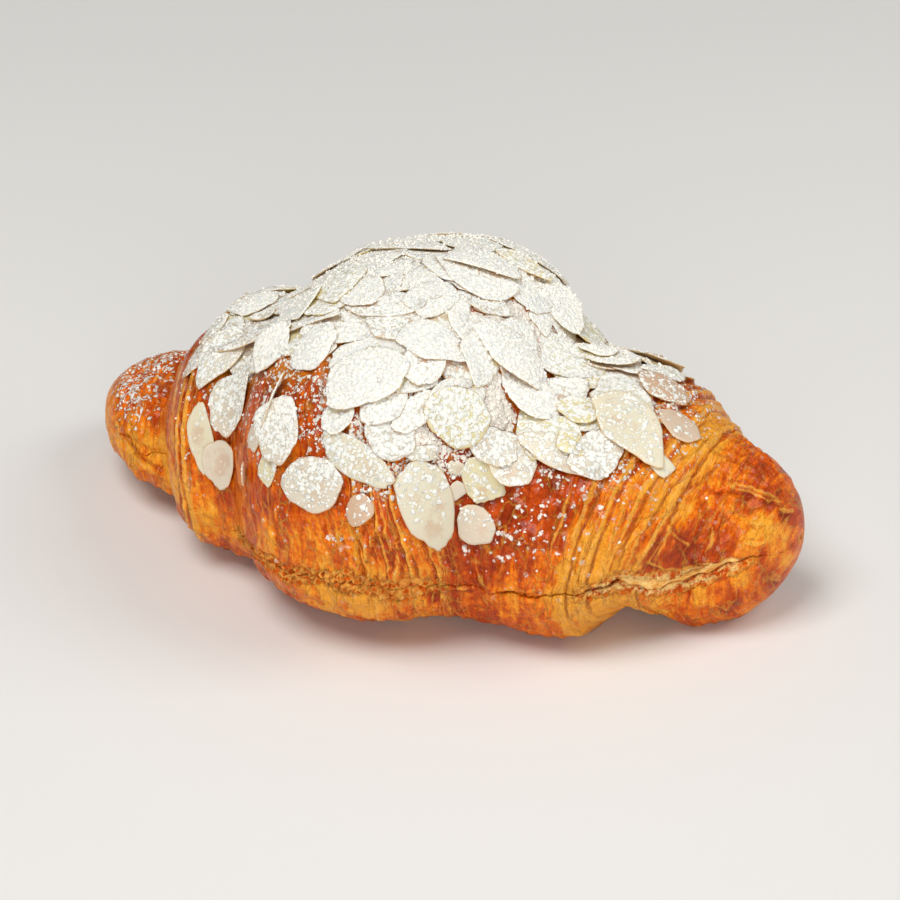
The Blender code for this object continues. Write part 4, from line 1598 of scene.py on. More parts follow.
@dataclass
class Studio:
    """Floor, soft light and camera."""
    view: View
    floor_half: float = 3.0
    lamp_size: float = 0.8
    lamps: tuple[tuple[str, tuple[float, float, float], float], ...] = (
        ("key light", (-0.22, -0.58, 1.40), 15.4),
        ("fill light", (0.60, -1.10, 0.38), 6.8),
        ("side light", (0.95, 0.35, 1.00), 7.0),
    )
    sky: tuple[float, float, float, float] = (1.0, 0.985, 0.965, 1.0)
    sky_strength: float = 0.19

    def build(self) -> None:
        """Set up everything that isn't part of the croissant."""
        self._camera()
        self._floor()
        for name, place, power in self.lamps:
            self._lamp(name, Vector(place), power)
        world = bpy.data.worlds.new("studio")
        world.use_nodes = True
        background = world.node_tree.nodes["Background"].inputs
        background["Color"].default_value, background["Strength"].default_value = self.sky, self.sky_strength
        bpy.context.scene.world = world
        bpy.context.scene.view_settings.view_transform = 'Standard'

    def _camera(self) -> None:
        """The camera."""
        data = bpy.data.cameras.new("camera")
        data.lens, data.sensor_width = self.view.lens, self.view.sensor
        data.clip_start, data.clip_end = 0.05, 20.0
        camera = add_object("camera", data)
        turn = Matrix((self.view.right, self.view.up, self.view.back)).transposed()
        camera.matrix_world = Matrix.Translation(self.view.place) @ turn.to_4x4()
        bpy.context.scene.camera = camera

    def _floor(self) -> None:
        """A plain floor under the croissant."""
        half = self.floor_half
        mesh = bpy.data.meshes.new("floor")
        corners = [(-half, -half, 0), (half, -half, 0), (half, half, 0), (-half, half, 0)]
        mesh.from_pydata(corners, [], [(0, 1, 2, 3)])
        floor = add_object("floor", mesh)
        mesh.materials.append(FloorFinish("studio floor").material())

    def _lamp(self, name: str, place: Vector, power: float) -> None:
        """Add a soft square light that faces the croissant.

        Args:
            name: Its name.
            place: Where it hangs.
            power: Its power in watts.
        """
        data = bpy.data.lights.new(name, 'AREA')
        data.size, data.energy = self.lamp_size, power
        lamp = add_object(name, data)
        lamp.location = place
        lamp.rotation_euler = (Vector((0.0, 0.0, 0.03)) - place).to_track_quat('-Z', 'Y').to_euler()


# ---- sliced almonds ----
class Outline(Enum):
    """How a slice came off the almond; the value is how much its end is drawn out to a point."""
    POINTED = 0.5
    OVAL = 0.12
    SLENDER = 0.38
    BROKEN = 0.3
    SHARD = 0.2


@dataclass(frozen=True)
class SliceShape:
    """One shape of sliced almond: 1 long, 1 wide and 1 thick, before it is scaled."""
    outline: Outline
    bend: float
    cup: float
    seed: float
    sides: int = 36
    rings: tuple[tuple[float, float], ...] = ((0.5, 0.98), (0.86, 0.9), (0.97, 0.62), (1.0, 0.0))

    def edge(self, turn: float) -> tuple[float, float]:
        """The outline at an angle.

        Args:
            turn: The angle; the pointed end is at 0.

        Returns:
            X and y there, on a slice 1 long and 1 wide.
        """
        place = (math.cos(turn) * 1.3 + self.seed, math.sin(turn) * 1.3, self.seed * 3.1)
        wobble = 1.0 + 0.18 * noise.noise(place) + 0.07 * noise.noise(tuple(2.6 * part for part in place))
        wobble += 0.035 * noise.noise(tuple(7.0 * part for part in place))
        x = 0.5 * math.cos(turn) * wobble
        y = 0.5 * math.sin(turn) * wobble * (1.0 - self.outline.value * max(math.cos(turn), 0.0) ** 1.3)
        if self.outline is Outline.BROKEN:
            x = min(x, 0.26 + 0.12 * y + 0.03 * noise.noise((y * 9.0, self.seed, 0.0)))
        if self.outline is Outline.SHARD:
            x = max(min(x, 0.24 + 0.3 * y), -0.3 + 0.2 * y + 0.03 * noise.noise((y * 9.0, self.seed, 1.0)))
        facing = 2.1 * self.seed
        over = x * math.cos(facing) + y * math.sin(facing) - 0.44 - 0.03 * math.sin(5.0 * self.seed)
        x, y = x - 0.7 * max(over, 0.0) * math.cos(facing), y - 0.7 * max(over, 0.0) * math.sin(facing)
        return x, y

    def ring(self, radius: float, count: int) -> list[tuple[float, float]]:
        """Points all round the flat slice, at a share of the way out to its rim."""
        edges = (self.edge(2.0 * math.pi * step / count) for step in range(count))
        return [(radius * x, radius * y) for x, y in edges]

    def height(self, x: float, y: float) -> float:
        """How far the slice's middle layer is bent up, as a multiple of its thickness."""
        ripple = 0.18 * noise.noise((x * 3.0 + self.seed, y * 3.0, 4.0))
        return self.bend * (2.0 * x) ** 2 + self.cup * (2.0 * y) ** 2 + ripple

    def build(self, name: str) -> Object:
        """Model the slice.

        Args:
            name: Name of its object.

        Returns:
            The object; its mesh carries the attributes edge, 0 in the middle and 1 at the rim, and
            local, the place on the flat slice.
        """
        places, reaches, rings = [], [], []
        for side in (1.0, -1.0):
            for radius, share in self.rings if side > 0.0 else reversed(self.rings[:-1]):
                rings.append(range(len(places), len(places) + self.sides))
                places += [(x, y, self.height(x, y) + 0.5 * side * share)
                           for x, y in self.ring(radius, self.sides)]
                reaches += [radius] * self.sides
        faces = [(inner[i], outer[i], outer[(i + 1) % self.sides], inner[(i + 1) % self.sides])
                 for inner, outer in zip(rings, rings[1:]) for i in range(self.sides)]
        for ring, side in ((rings[0], 1.0), (rings[-1], -1.0)):
            middle = len(places)
            places.append((0.0, 0.0, self.height(0.0, 0.0) + 0.5 * side))
            reaches.append(0.0)
            for i in range(self.sides):
                pair = (ring[i], ring[(i + 1) % self.sides])
                faces.append((middle, *(pair if side > 0.0 else pair[::-1])))
        mesh = bpy.data.meshes.new(name)
        mesh.from_pydata(places, [], faces)
        add_attribute(mesh, "edge", np.array(reaches))
        add_attribute(mesh, "local", np.array(places))
        return bpy.data.objects.new(name, mesh)


@dataclass(frozen=True)
class SeenSlice:
    """A slice that can be told apart in the photograph, by the pixels of its two ends."""
    blunt_x: float
    blunt_y: float
    tip_x: float
    tip_y: float
    width: float
    outline: Outline = Outline.OVAL
    sugar: float = 1.0
    tone: float = 0.4
    roll: float = 0.0
    pitch: float = 0.0
    lift: float = 0.0
    face: float = 0.0


@dataclass
class LaidSlice:
    """A slice in its place on the heap."""
    place: Vector
    axes: Matrix
    size: tuple[float, float, float]
    shape: int
    tone: float
    sugar: float
    sag: tuple[float, ...] = (0.0,) * 6

    def sagged(self, x: Any, y: Any) -> Any:
        """How far, in metres, the slice is bent up at a place on it to follow what it lies on."""
        level, slope_x, slope_y, bend_x, twist, bend_y = self.sag
        return level + slope_x * x + slope_y * y + bend_x * x * x + twist * x * y + bend_y * y * y


POINTED, OVAL, SLENDER, BROKEN, SHARD = Outline
SEEN_LOW = tuple(SeenSlice(*row) for row in (
    (197, 400, 209, 478, 25, OVAL, 0.12, 0.30),
    (224, 436, 221, 494, 27, POINTED, 0.10, 0.55),
    (240, 320, 205, 398, 32, POINTED, 0.8, 0.45),
    (251, 461, 244, 488, 11, SLENDER, 0.5, 0.5, 30.0),
    (268, 428, 240, 452, 23, BROKEN, 0.4, 0.6),
    (250, 370, 222, 440, 36, OVAL, 0.9, 0.5),
    (252, 338, 272, 352, 18, SHARD, 0.2, 0.9),
    (288, 373, 262, 436, 16, SLENDER, 0.8, 0.5, 35.0),
    (282, 458, 254, 488, 24, BROKEN, 1.2, 0.2),
    (286, 394, 280, 468, 47, OVAL, 0.9, 0.45),
    (350, 525, 369, 495, 30, OVAL, 0.45, 1.0),
    (277, 480, 349, 490, 47, OVAL, 0.8, 0.5),
    (318, 432, 394, 484, 34, OVAL, 0.6, 0.35),
    (325, 430, 360, 402, 30, POINTED, 1.1, 0.4),
    (462, 503, 484, 545, 36, OVAL, 0.45, 0.6),
    (441, 482, 472, 500, 17, SHARD, 0.3, 0.5),
    (437, 463, 437, 481, 16, SHARD, 0.4, 0.5),
    (455, 457, 457, 481, 20, SHARD, 0.3, 0.4),
    (407, 458, 448, 556, 52, POINTED, 0.55, 0.35),
    (404, 456, 450, 450, 15, BROKEN, 0.6, 0.4),
    (368, 416, 408, 457, 42, OVAL, 1.0, 0.6),
    (466, 456, 499, 513, 36, BROKEN, 0.9, 0.2),
    (497, 433, 520, 490, 43, OVAL, 0.8, 0.45),
    (519, 438, 600, 472, 28, SLENDER, 0.55, 0.45),
    (560, 435, 588, 456, 30, OVAL, 0.5, 0.05),
    (630, 380, 694, 399, 21, OVAL, 0.35, 0.95),
    (660, 407, 696, 446, 27, OVAL, 0.2, 0.75),
    (650, 458, 676, 480, 35, BROKEN, 0.3, 0.35),
))
SEEN_HIGH = tuple(SeenSlice(*row) for row in (
    (322, 390, 414, 370, 53, OVAL, 1.5, 0.35),
    (290, 372, 340, 330, 32, OVAL, 1.8, 0.4),
    (290, 322, 266, 382, 18, SLENDER, 1.0, 0.5, -20.0),
    (224, 318, 280, 300, 28, OVAL, 1.3, 0.4),
    (252, 325, 284, 328, 22, SLENDER, 0.9, 0.6),
    (418, 408, 492, 428, 62, OVAL, 0.8, 0.0),
    (560, 400, 598, 432, 34, OVAL, 0.7, 0.05),
    (600, 380, 648, 430, 42, OVAL, 0.9, 0.3),
    (608, 376, 646, 481, 42, POINTED, 0.3, 0.35),
    (596, 356, 662, 351, 32, POINTED, 1.3, 0.3, 0.0, 6.0, 0.0008, 0.35),
    (572, 352, 616, 372, 34, OVAL, 1.6, 0.3),
    (566, 344, 556, 278, 44, OVAL, 1.6, 0.3, 0.0, 0.0, 0.0, 0.6),
    (494, 254, 550, 284, 22, SLENDER, 0.5, 0.25, 0.0, 0.0, 0.0012, 0.5),
))


def heap_foot(x: Array | float) -> Any:
    """How far down the front the closed heap reaches, in degrees round the section."""
    return np.interp(x, (-0.047, -0.030, -0.012, 0.003, 0.012, 0.030, 0.050, 0.056),
                     (72.0, 74.0, 68.0, 54.0, 45.0, 43.0, 47.0, 66.0))


@dataclass
class Heap:
    """The heap of sliced almonds, laid one on another on the crust."""
    crust: BVHTree
    view: View
    dough: Dough
    seed: int = 11
    reach: float = 0.012
    thickness: float = 0.52
    look_from: float = 0.0025
    most_sag: float = 0.0018
    suppleness: float = 0.85
    bends: tuple[float, ...] = (-1.7, -0.8, 0.1)
    feel_along: tuple[float, ...] = (-0.42, -0.21, 0.0, 0.21, 0.42)
    feel_across: tuple[float, ...] = (-0.34, 0.0, 0.34)
    steepest: float = 0.4
    longest: float = 0.027
    widest: float = 0.0165
    clears_seen: float = 0.97
    clears: float = 0.86
    least_facing: float = 0.35
    least_side: float = 0.45
    pixels_lower: float = 12.0
    laid: list[LaidSlice] = field(default_factory=list)
    places: list[Vector] = field(default_factory=list)
    faces: list[tuple[int, ...]] = field(default_factory=list)
    tree: BVHTree | None = None

    def __post_init__(self) -> None:
        """Make the shapes: every outline in every bend."""
        self.draw = random.Random(self.seed)
        self.shapes = []
        for number, outline in enumerate(Outline):
            for bend in self.bends:
                cup, seed = 0.25 * math.sin(7.0 * number + bend), 1.7 * number + 0.9 * bend
                self.shapes.append(SliceShape(outline, bend, cup, seed))

    def hit(self, origin: Vector, direction: Vector, reach: float) -> tuple[Vector, Vector, float] | None:
        """The first surface that a ray meets, of crust and slices.

        Args:
            origin: Where the ray starts.
            direction: Its direction.
            reach: Its length.

        Returns:
            The place, the surface's direction and the distance, or None.
        """
        found = [tree.ray_cast(origin, direction, reach) for tree in (self.crust, self.tree) if tree]
        near = [hit for hit in found if hit[0] is not None]
        if not near:
            return None
        place, normal, _, distance = min(near, key=lambda hit: hit[3])
        return place, normal, distance

    def broad_normal(self, place: Vector, start: Vector) -> Vector:
        """The crust's direction around a place, without its fine relief.

        Args:
            place: The place.
            start: The crust's direction right there.

        Returns:
            The average of the directions around it.
        """
        total = Vector()
        for number in range(12):
            turn, spread = 2.4 * number, 0.0016 * math.sqrt(number + 0.5)
            way = Vector((math.cos(turn), math.sin(turn) * 0.8, math.sin(turn + 1.0) * 0.6))
            found = self.crust.find_nearest(place + way * spread)
            if found[1] is not None and found[1].dot(start) > 0.2:
                total += found[1]
        return total.normalized() if total.length > 0.5 else start

    def lay(self, spot: Vector, normal: Vector, along: Vector, length: float, width: float, outline: Outline,
            tone: float, sugar: float, roll: float = 0.0, pitch: float = 0.0, lift: float = 0.0,
            highest: float = 0.0055, settle: float | None = None, stiff: bool = False) -> None:
        """Lay a slice down on what is already there.

        Args:
            spot: Where its middle goes, on the crust.
            normal: The crust's direction there.
            along: The way its pointed end points.
            length: Its length.
            width: Its width.
            outline: Its outline.
            tone: 0 yellow, 0.5 cream, 1 translucent.
            sugar: How much of the dusting it holds.
            roll: Degrees by which it leans over its long axis.
            pitch: Degrees by which its pointed end is raised.
            lift: Extra height.
            highest: It is pressed into the heap until its middle is no higher than this.
            settle: Share of the places under it that it clears, where it isn't the usual one.
            stiff: Whether it keeps its own form.
        """
        settle = settle or self.clears
        along = (along - normal * along.dot(normal)).normalized()
        across = normal.cross(along)
        rows, heights = [], []
        for s in self.feel_along:
            for t in self.feel_across:
                start = spot + along * (s * length) + across * (t * width) + normal * self.reach
                found = self.hit(start, -normal, 2.0 * self.reach)
                if found:
                    rows.append((1.0, s * length, t * width, (2.0 * s) ** 2))
                    heights.append(self.reach - found[2])
        if len(rows) < 7:
            return
        table, level = np.array(rows), np.array(heights)
        fit = np.linalg.lstsq(table, level, rcond=None)[0]
        slopes = np.clip(fit[1:3], -self.steepest, self.steepest)
        bend = float(np.clip(fit[3] / MM, -2.0, 0.4))
        chosen = min(range(len(self.bends)), key=lambda index: abs(self.bends[index] - 0.8 * bend))
        bent = self.bends[chosen] * MM * table[:, 3]
        rise = float(np.quantile(level - table[:, 1:3] @ slopes - bent, settle)) + 0.45 * self.thickness * MM
        rise = min(rise, highest)
        along = (along + normal * float(slopes[0])).normalized()
        up = (normal - along * normal.dot(along) - across * float(slopes[1])).normalized()
        along = (along - up * along.dot(up)).normalized()
        if pitch:
            along = (Matrix.Rotation(math.radians(-pitch), 3, up.cross(along)) @ along).normalized()
            rise += 0.5 * length * math.sin(math.radians(pitch)) * 0.6
        if roll:
            rise += 0.5 * width * abs(math.sin(math.radians(roll))) * 0.7
            up = Matrix.Rotation(math.radians(roll), 3, along) @ up
        across = up.cross(along).normalized()
        up = along.cross(across)
        shape = list(Outline).index(outline) * len(self.bends) + chosen
        place = spot + normal * (rise + lift)
        size = (length, width, MM * self.thickness * self.draw.uniform(0.85, 1.1))
        slice_ = LaidSlice(place, Matrix((along, across, up)).transposed(), size, shape, tone, sugar)
        if stiff:
            self._rest(slice_, -normal)
        else:
            self._sag(slice_, settle, highest - rise)
        self.laid.append(slice_)
        self._add_to_tree(slice_)

    def _on_slice(self, slice_: LaidSlice, x: float, y: float, side: float, raised: float = 0.0) -> Vector:
        """Where a point of a slice lies in the croissant's frame.

        Args:
            slice_: The slice.
            x: The point along the flat slice, which is 1 long.
            y: The point across it.
            side: 0.5 for its upper face, -0.5 for its lower one.
            raised: How far the point has been bent up, in metres.

        Returns:
            The point's place.
        """
        local = Vector((x, y, self.shapes[slice_.shape].height(x, y) + side))
        local = Vector(a * b for a, b in zip(local, slice_.size)) + Vector((0.0, 0.0, raised))
        return slice_.place + slice_.axes @ local

    def _rest(self, slice_: LaidSlice, down: Vector) -> None:
        """Let a stiff slice down until its lowest part touches what lies under it.

        Args:
            slice_: The slice, in its place.
            down: The way it goes.
        """
        gaps = []
        for x, y in self.shapes[slice_.shape].ring(1.0, 24):
            start = self._on_slice(slice_, x, y, -0.5)
            found = self.hit(start - down * self.look_from, down, 2.0 * self.reach)
            if found:
                gaps.append(found[2] - self.look_from)
        if len(gaps) > 4:
            slice_.place = slice_.place + down * max(sorted(gaps)[2], 0.0)

    def _sag(self, slice_: LaidSlice, settle: float, room: float) -> None:
        """Bend a slice to what lies under it.

        Args:
            slice_: The slice, in its place.
            settle: Share of the places under it that it clears.
            room: How much higher it may come to lie.
        """
        shape, up = self.shapes[slice_.shape], slice_.axes.col[2]
        rows, needs = [], []
        for radius in (0.0, 0.45, 0.75, 1.0):
            for x, y in shape.ring(radius, 12 if radius else 1):
                start = self._on_slice(slice_, x, y, -0.5)
                found = self.hit(start + up * self.look_from, -up, 2.0 * self.look_from)
                if found:
                    rows.append((1.0, x, y, x * x, x * y, y * y))
                    needs.append(self.look_from - found[2])
        if len(rows) < 20:
            return
        most = self.most_sag
        table, need = np.array(rows), np.clip(np.array(needs), -most, most)
        sag = np.linalg.lstsq(table, need, rcond=None)[0] * self.suppleness
        sag[1:3] = np.clip(sag[1:3], -most, most)
        sag[3:] = np.clip(sag[3:], -3.0 * most, 3.0 * most)
        sag[0] += float(np.quantile(need - table @ sag, settle))
        sag[0] = min(sag[0], max(room, 0.0))
        slice_.sag = tuple(float(part) for part in sag)

    def _add_to_tree(self, slice_: LaidSlice) -> None:
        """Let later slices lie on this one.

        Args:
            slice_: The slice, in its place and bent.
        """
        shape, first, sides = self.shapes[slice_.shape], len(self.places), 12
        points = [(0.0, 0.0)] + shape.ring(0.55, sides) + shape.ring(1.0, sides)
        self.places += [self._on_slice(slice_, x, y, 0.45, slice_.sagged(x, y)) for x, y in points]
        for step in range(sides):
            inner, next_inner = first + 1 + step, first + 1 + (step + 1) % sides
            self.faces.append((first, inner, next_inner))
            self.faces.append((inner, inner + sides, next_inner + sides, next_inner))
        self.tree = BVHTree.FromPolygons(self.places, self.faces)

    def lay_seen(self, slices: Sequence[SeenSlice]) -> None:
        """Lay slices where the photograph shows them.

        Args:
            slices: The slices, from the lowest to the highest.
        """
        view = self.view
        for seen in slices:
            middle = (0.5 * (seen.blunt_x + seen.tip_x), 0.5 * (seen.blunt_y + seen.tip_y))
            found = self.crust.ray_cast(view.place, view.ray(*middle), 2.0)
            if found[0] is None:
                # it juts out past the crust, so its place is looked for lower, nearer its blunt end
                middle = (middle[0] - 0.25 * (seen.tip_x - seen.blunt_x), middle[1] + self.pixels_lower)
                found = self.crust.ray_cast(view.place, view.ray(*middle), 2.0)
            if found[0] is None:
                LOG.info("no crust under the slice at %d, %d", *middle)
                continue
            spot, normal = found[0], self.broad_normal(found[0], found[1])
            normal = normal.lerp(view.back, seen.face).normalized()
            facing = max(normal.dot(view.back), self.least_facing)
            blunt = self._on_plane(spot, normal, (seen.blunt_x, seen.blunt_y), facing)
            along = self._on_plane(spot, normal, (seen.tip_x, seen.tip_y), facing) - blunt
            length = min(along.length, self.longest)
            side = normal.cross(along.normalized())
            seen_share = max((side - view.back * side.dot(view.back)).length, self.least_side)
            width = seen.width * view.distance / view.pixels_per_unit / seen_share
            width = min(width, 0.8 * length, self.widest)
            self.lay(spot, normal, along, length, width, seen.outline, seen.tone, seen.sugar, seen.roll,
                     seen.pitch, seen.lift + 0.0002, settle=self.clears_seen,
                     stiff=bool(seen.roll or seen.pitch or seen.face))

    def _on_plane(self, spot: Vector, normal: Vector, pixel: tuple[float, float], facing: float) -> Vector:
        """Where a pixel's ray meets the plane of a slice."""
        ray = self.view.ray(*pixel)
        return self.view.place + ray * ((spot - self.view.place).dot(normal) / min(ray.dot(normal), -facing))

    def _look_in(self, x: float, angle: float) -> tuple[Vector | None, Vector, bool]:
        """Look at the crust from outside.

        Args:
            x: The station.
            angle: The angle round the section, in radians.

        Returns:
            The crust's place, the way outwards, and whether a slice lies in between.
        """
        where, turn, reach = np.array([x]), np.array([angle]), 0.02
        outward = Vector(self.dough.skin_normal(where, turn)[0])
        start = Vector(self.dough.smooth_skin(where, turn)[0]) + outward * reach
        found = self.crust.ray_cast(start, -outward, 2.0 * reach)
        over = self.tree.ray_cast(start, -outward, 2.0 * reach) if self.tree else (None,)
        return found[0], outward, bool(found[0] and over[0] and over[3] < found[3])

    def _lay_turned(self, spot: Vector, outward: Vector, length: float, widest: float, shards: int,
                    least_sugar: float, highest: float) -> None:
        """Lay a slice that is turned and shaped by chance.

        Args:
            spot: Where its middle goes, on the crust.
            outward: The way out of the croissant there.
            length: Its length.
            widest: Greatest width for a length of 1.
            shards: How often it is a shard, where whole slices have 4.
            least_sugar: Least sugar that it holds.
            highest: How far over the crust it may come to lie.
        """
        draw = self.draw
        turn = Matrix.Rotation(draw.uniform(0.0, 2.0 * math.pi), 3, outward)
        outline = draw.choices(list(Outline), (3, 4, 2, 3, shards))[0]
        self.lay(spot, self.broad_normal(spot, outward), turn @ outward.orthogonal(), length,
                 length * draw.uniform(0.5, widest), outline, draw.random(), draw.uniform(least_sugar, 1.3),
                 draw.uniform(-9.0, 9.0), highest=highest)

    def lay_rows(self, low: float, high: float, rows: int, columns: int, start: float, end: float,
                 smallest: float, largest: float, highest: float) -> None:
        """Lay rows of slices by rule, with jitter.

        Args:
            low: Angle round the section of the first row, degrees.
            high: Angle of the last row.
            rows: Number of rows.
            columns: Slices in a row.
            start: X of the first slice.
            end: X of the last.
            smallest: Least length.
            largest: Greatest length.
            highest: How far over the crust they may come to lie.
        """
        draw = self.draw
        cells = [(row, column) for row in range(rows) for column in range(columns)]
        draw.shuffle(cells)
        for row, column in cells:
            x = start + (end - start) * (column + 0.5 * (row % 2) + draw.uniform(-0.35, 0.35)) / columns
            angle = math.radians(low + (high - low) * (row + draw.uniform(-0.4, 0.4)) / max(rows - 1, 1))
            spot, outward, _ = self._look_in(x, angle)
            if spot is not None:
                self._lay_turned(spot, outward, draw.uniform(smallest, largest), 0.68, 2, 0.6, highest)

    def close_gaps(self, spacing: float, high: float, start: float, end: float, largest: float,
                   highest: float) -> None:
        """Lay slices wherever the crust still shows in the closed part of the heap.

        Args:
            spacing: Distance between the places that are looked at.
            high: Angle round the section at which the heap ends at the back, degrees.
            start: X of its left end.
            end: X of its right end.
            largest: Greatest length of a slice.
            highest: How far over the crust they may come to lie.
        """
        draw, radius = self.draw, 0.045
        for x in np.arange(start, end, spacing):
            low = float(heap_foot(x))
            count = int(math.radians(high - low) * radius / spacing) + 1
            for step in range(count):
                angle = math.radians(low + (high - low) * (step + draw.uniform(0.2, 0.8)) / count)
                spot, outward, covered = self._look_in(x + draw.uniform(-0.4, 0.4) * spacing, angle)
                if spot is not None and not covered:
                    self._lay_turned(spot, outward, draw.uniform(0.65, 1.0) * largest, 0.7, 3, 0.8, highest)

    def build(self) -> Object:
        """Turn all laid slices into one mesh.

        Returns:
            The heap's object, with the attributes edge, tone and sugar.
        """
        library = bpy.data.collections.new("almond shapes")
        for number, shape in enumerate(self.shapes):
            library.objects.link(shape.build(f"slice_{number:02d}"))
        mesh = bpy.data.meshes.new("sliced_almonds")
        mesh.from_pydata([tuple(item.place) for item in self.laid], [], [])
        columns = {
            "turn": [tuple(item.axes.to_euler()) for item in self.laid],
            "size": [item.size for item in self.laid],
            "shape": [item.shape for item in self.laid],
            "tone": [item.tone for item in self.laid],
            "sugar": [item.sugar for item in self.laid],
            "number": range(len(self.laid)),
        }
        for label, values in columns.items():
            add_attribute(mesh, label, np.array(values))
        recipe = Recipe("lay slices")
        shapes = recipe.ask("Shapes", 'NodeSocketCollection')
        material = recipe.ask("Material", 'NodeSocketMaterial')
        pick = recipe.node("GeometryNodeCollectionInfo", {}, {
            "Collection": shapes, "Separate Children": True, "Reset Children": True})
        turn = recipe.node("FunctionNodeEulerToRotation", {}, {0: recipe.attribute("turn", 'FLOAT_VECTOR')})
        index = recipe.node("FunctionNodeFloatToInt", {}, {0: recipe.attribute("shape", 'FLOAT')})
        slices = recipe.node("GeometryNodeInstanceOnPoints", {}, {
            "Points": recipe.entry.outputs["Geometry"], "Instance": pick, "Pick Instance": True,
            "Instance Index": index, "Rotation": turn, "Scale": recipe.attribute("size", 'FLOAT_VECTOR')})
        piece = add_object("sliced_almonds", mesh)
        finish = AlmondFinish("sliced almond").material()
        recipe.cook(piece, slices, material, {"Shapes": library, "Material": finish})
        self._bend(piece.data)
        for shape in list(library.objects):
            bpy.data.objects.remove(shape)
        bpy.data.collections.remove(library)
        return piece

    def _bend(self, mesh: Mesh) -> None:
        """Bend every slice as it was laid.

        Args:
            mesh: The finished mesh of all slices.
        """
        places, locals_ = mesh_points(mesh), read_attribute(mesh, "local", 3)
        numbers = np.rint(read_attribute(mesh, "number", 1)[:, 0]).astype(int)
        for number, item in enumerate(self.laid):
            mine = numbers == number
            rise = item.sagged(locals_[mine, 0], locals_[mine, 1])
            places[mine] += np.array(item.axes.col[2]) * rise[:, None]
        mesh.vertices.foreach_set("co", places.astype(np.float32).ravel())
        mesh.update()


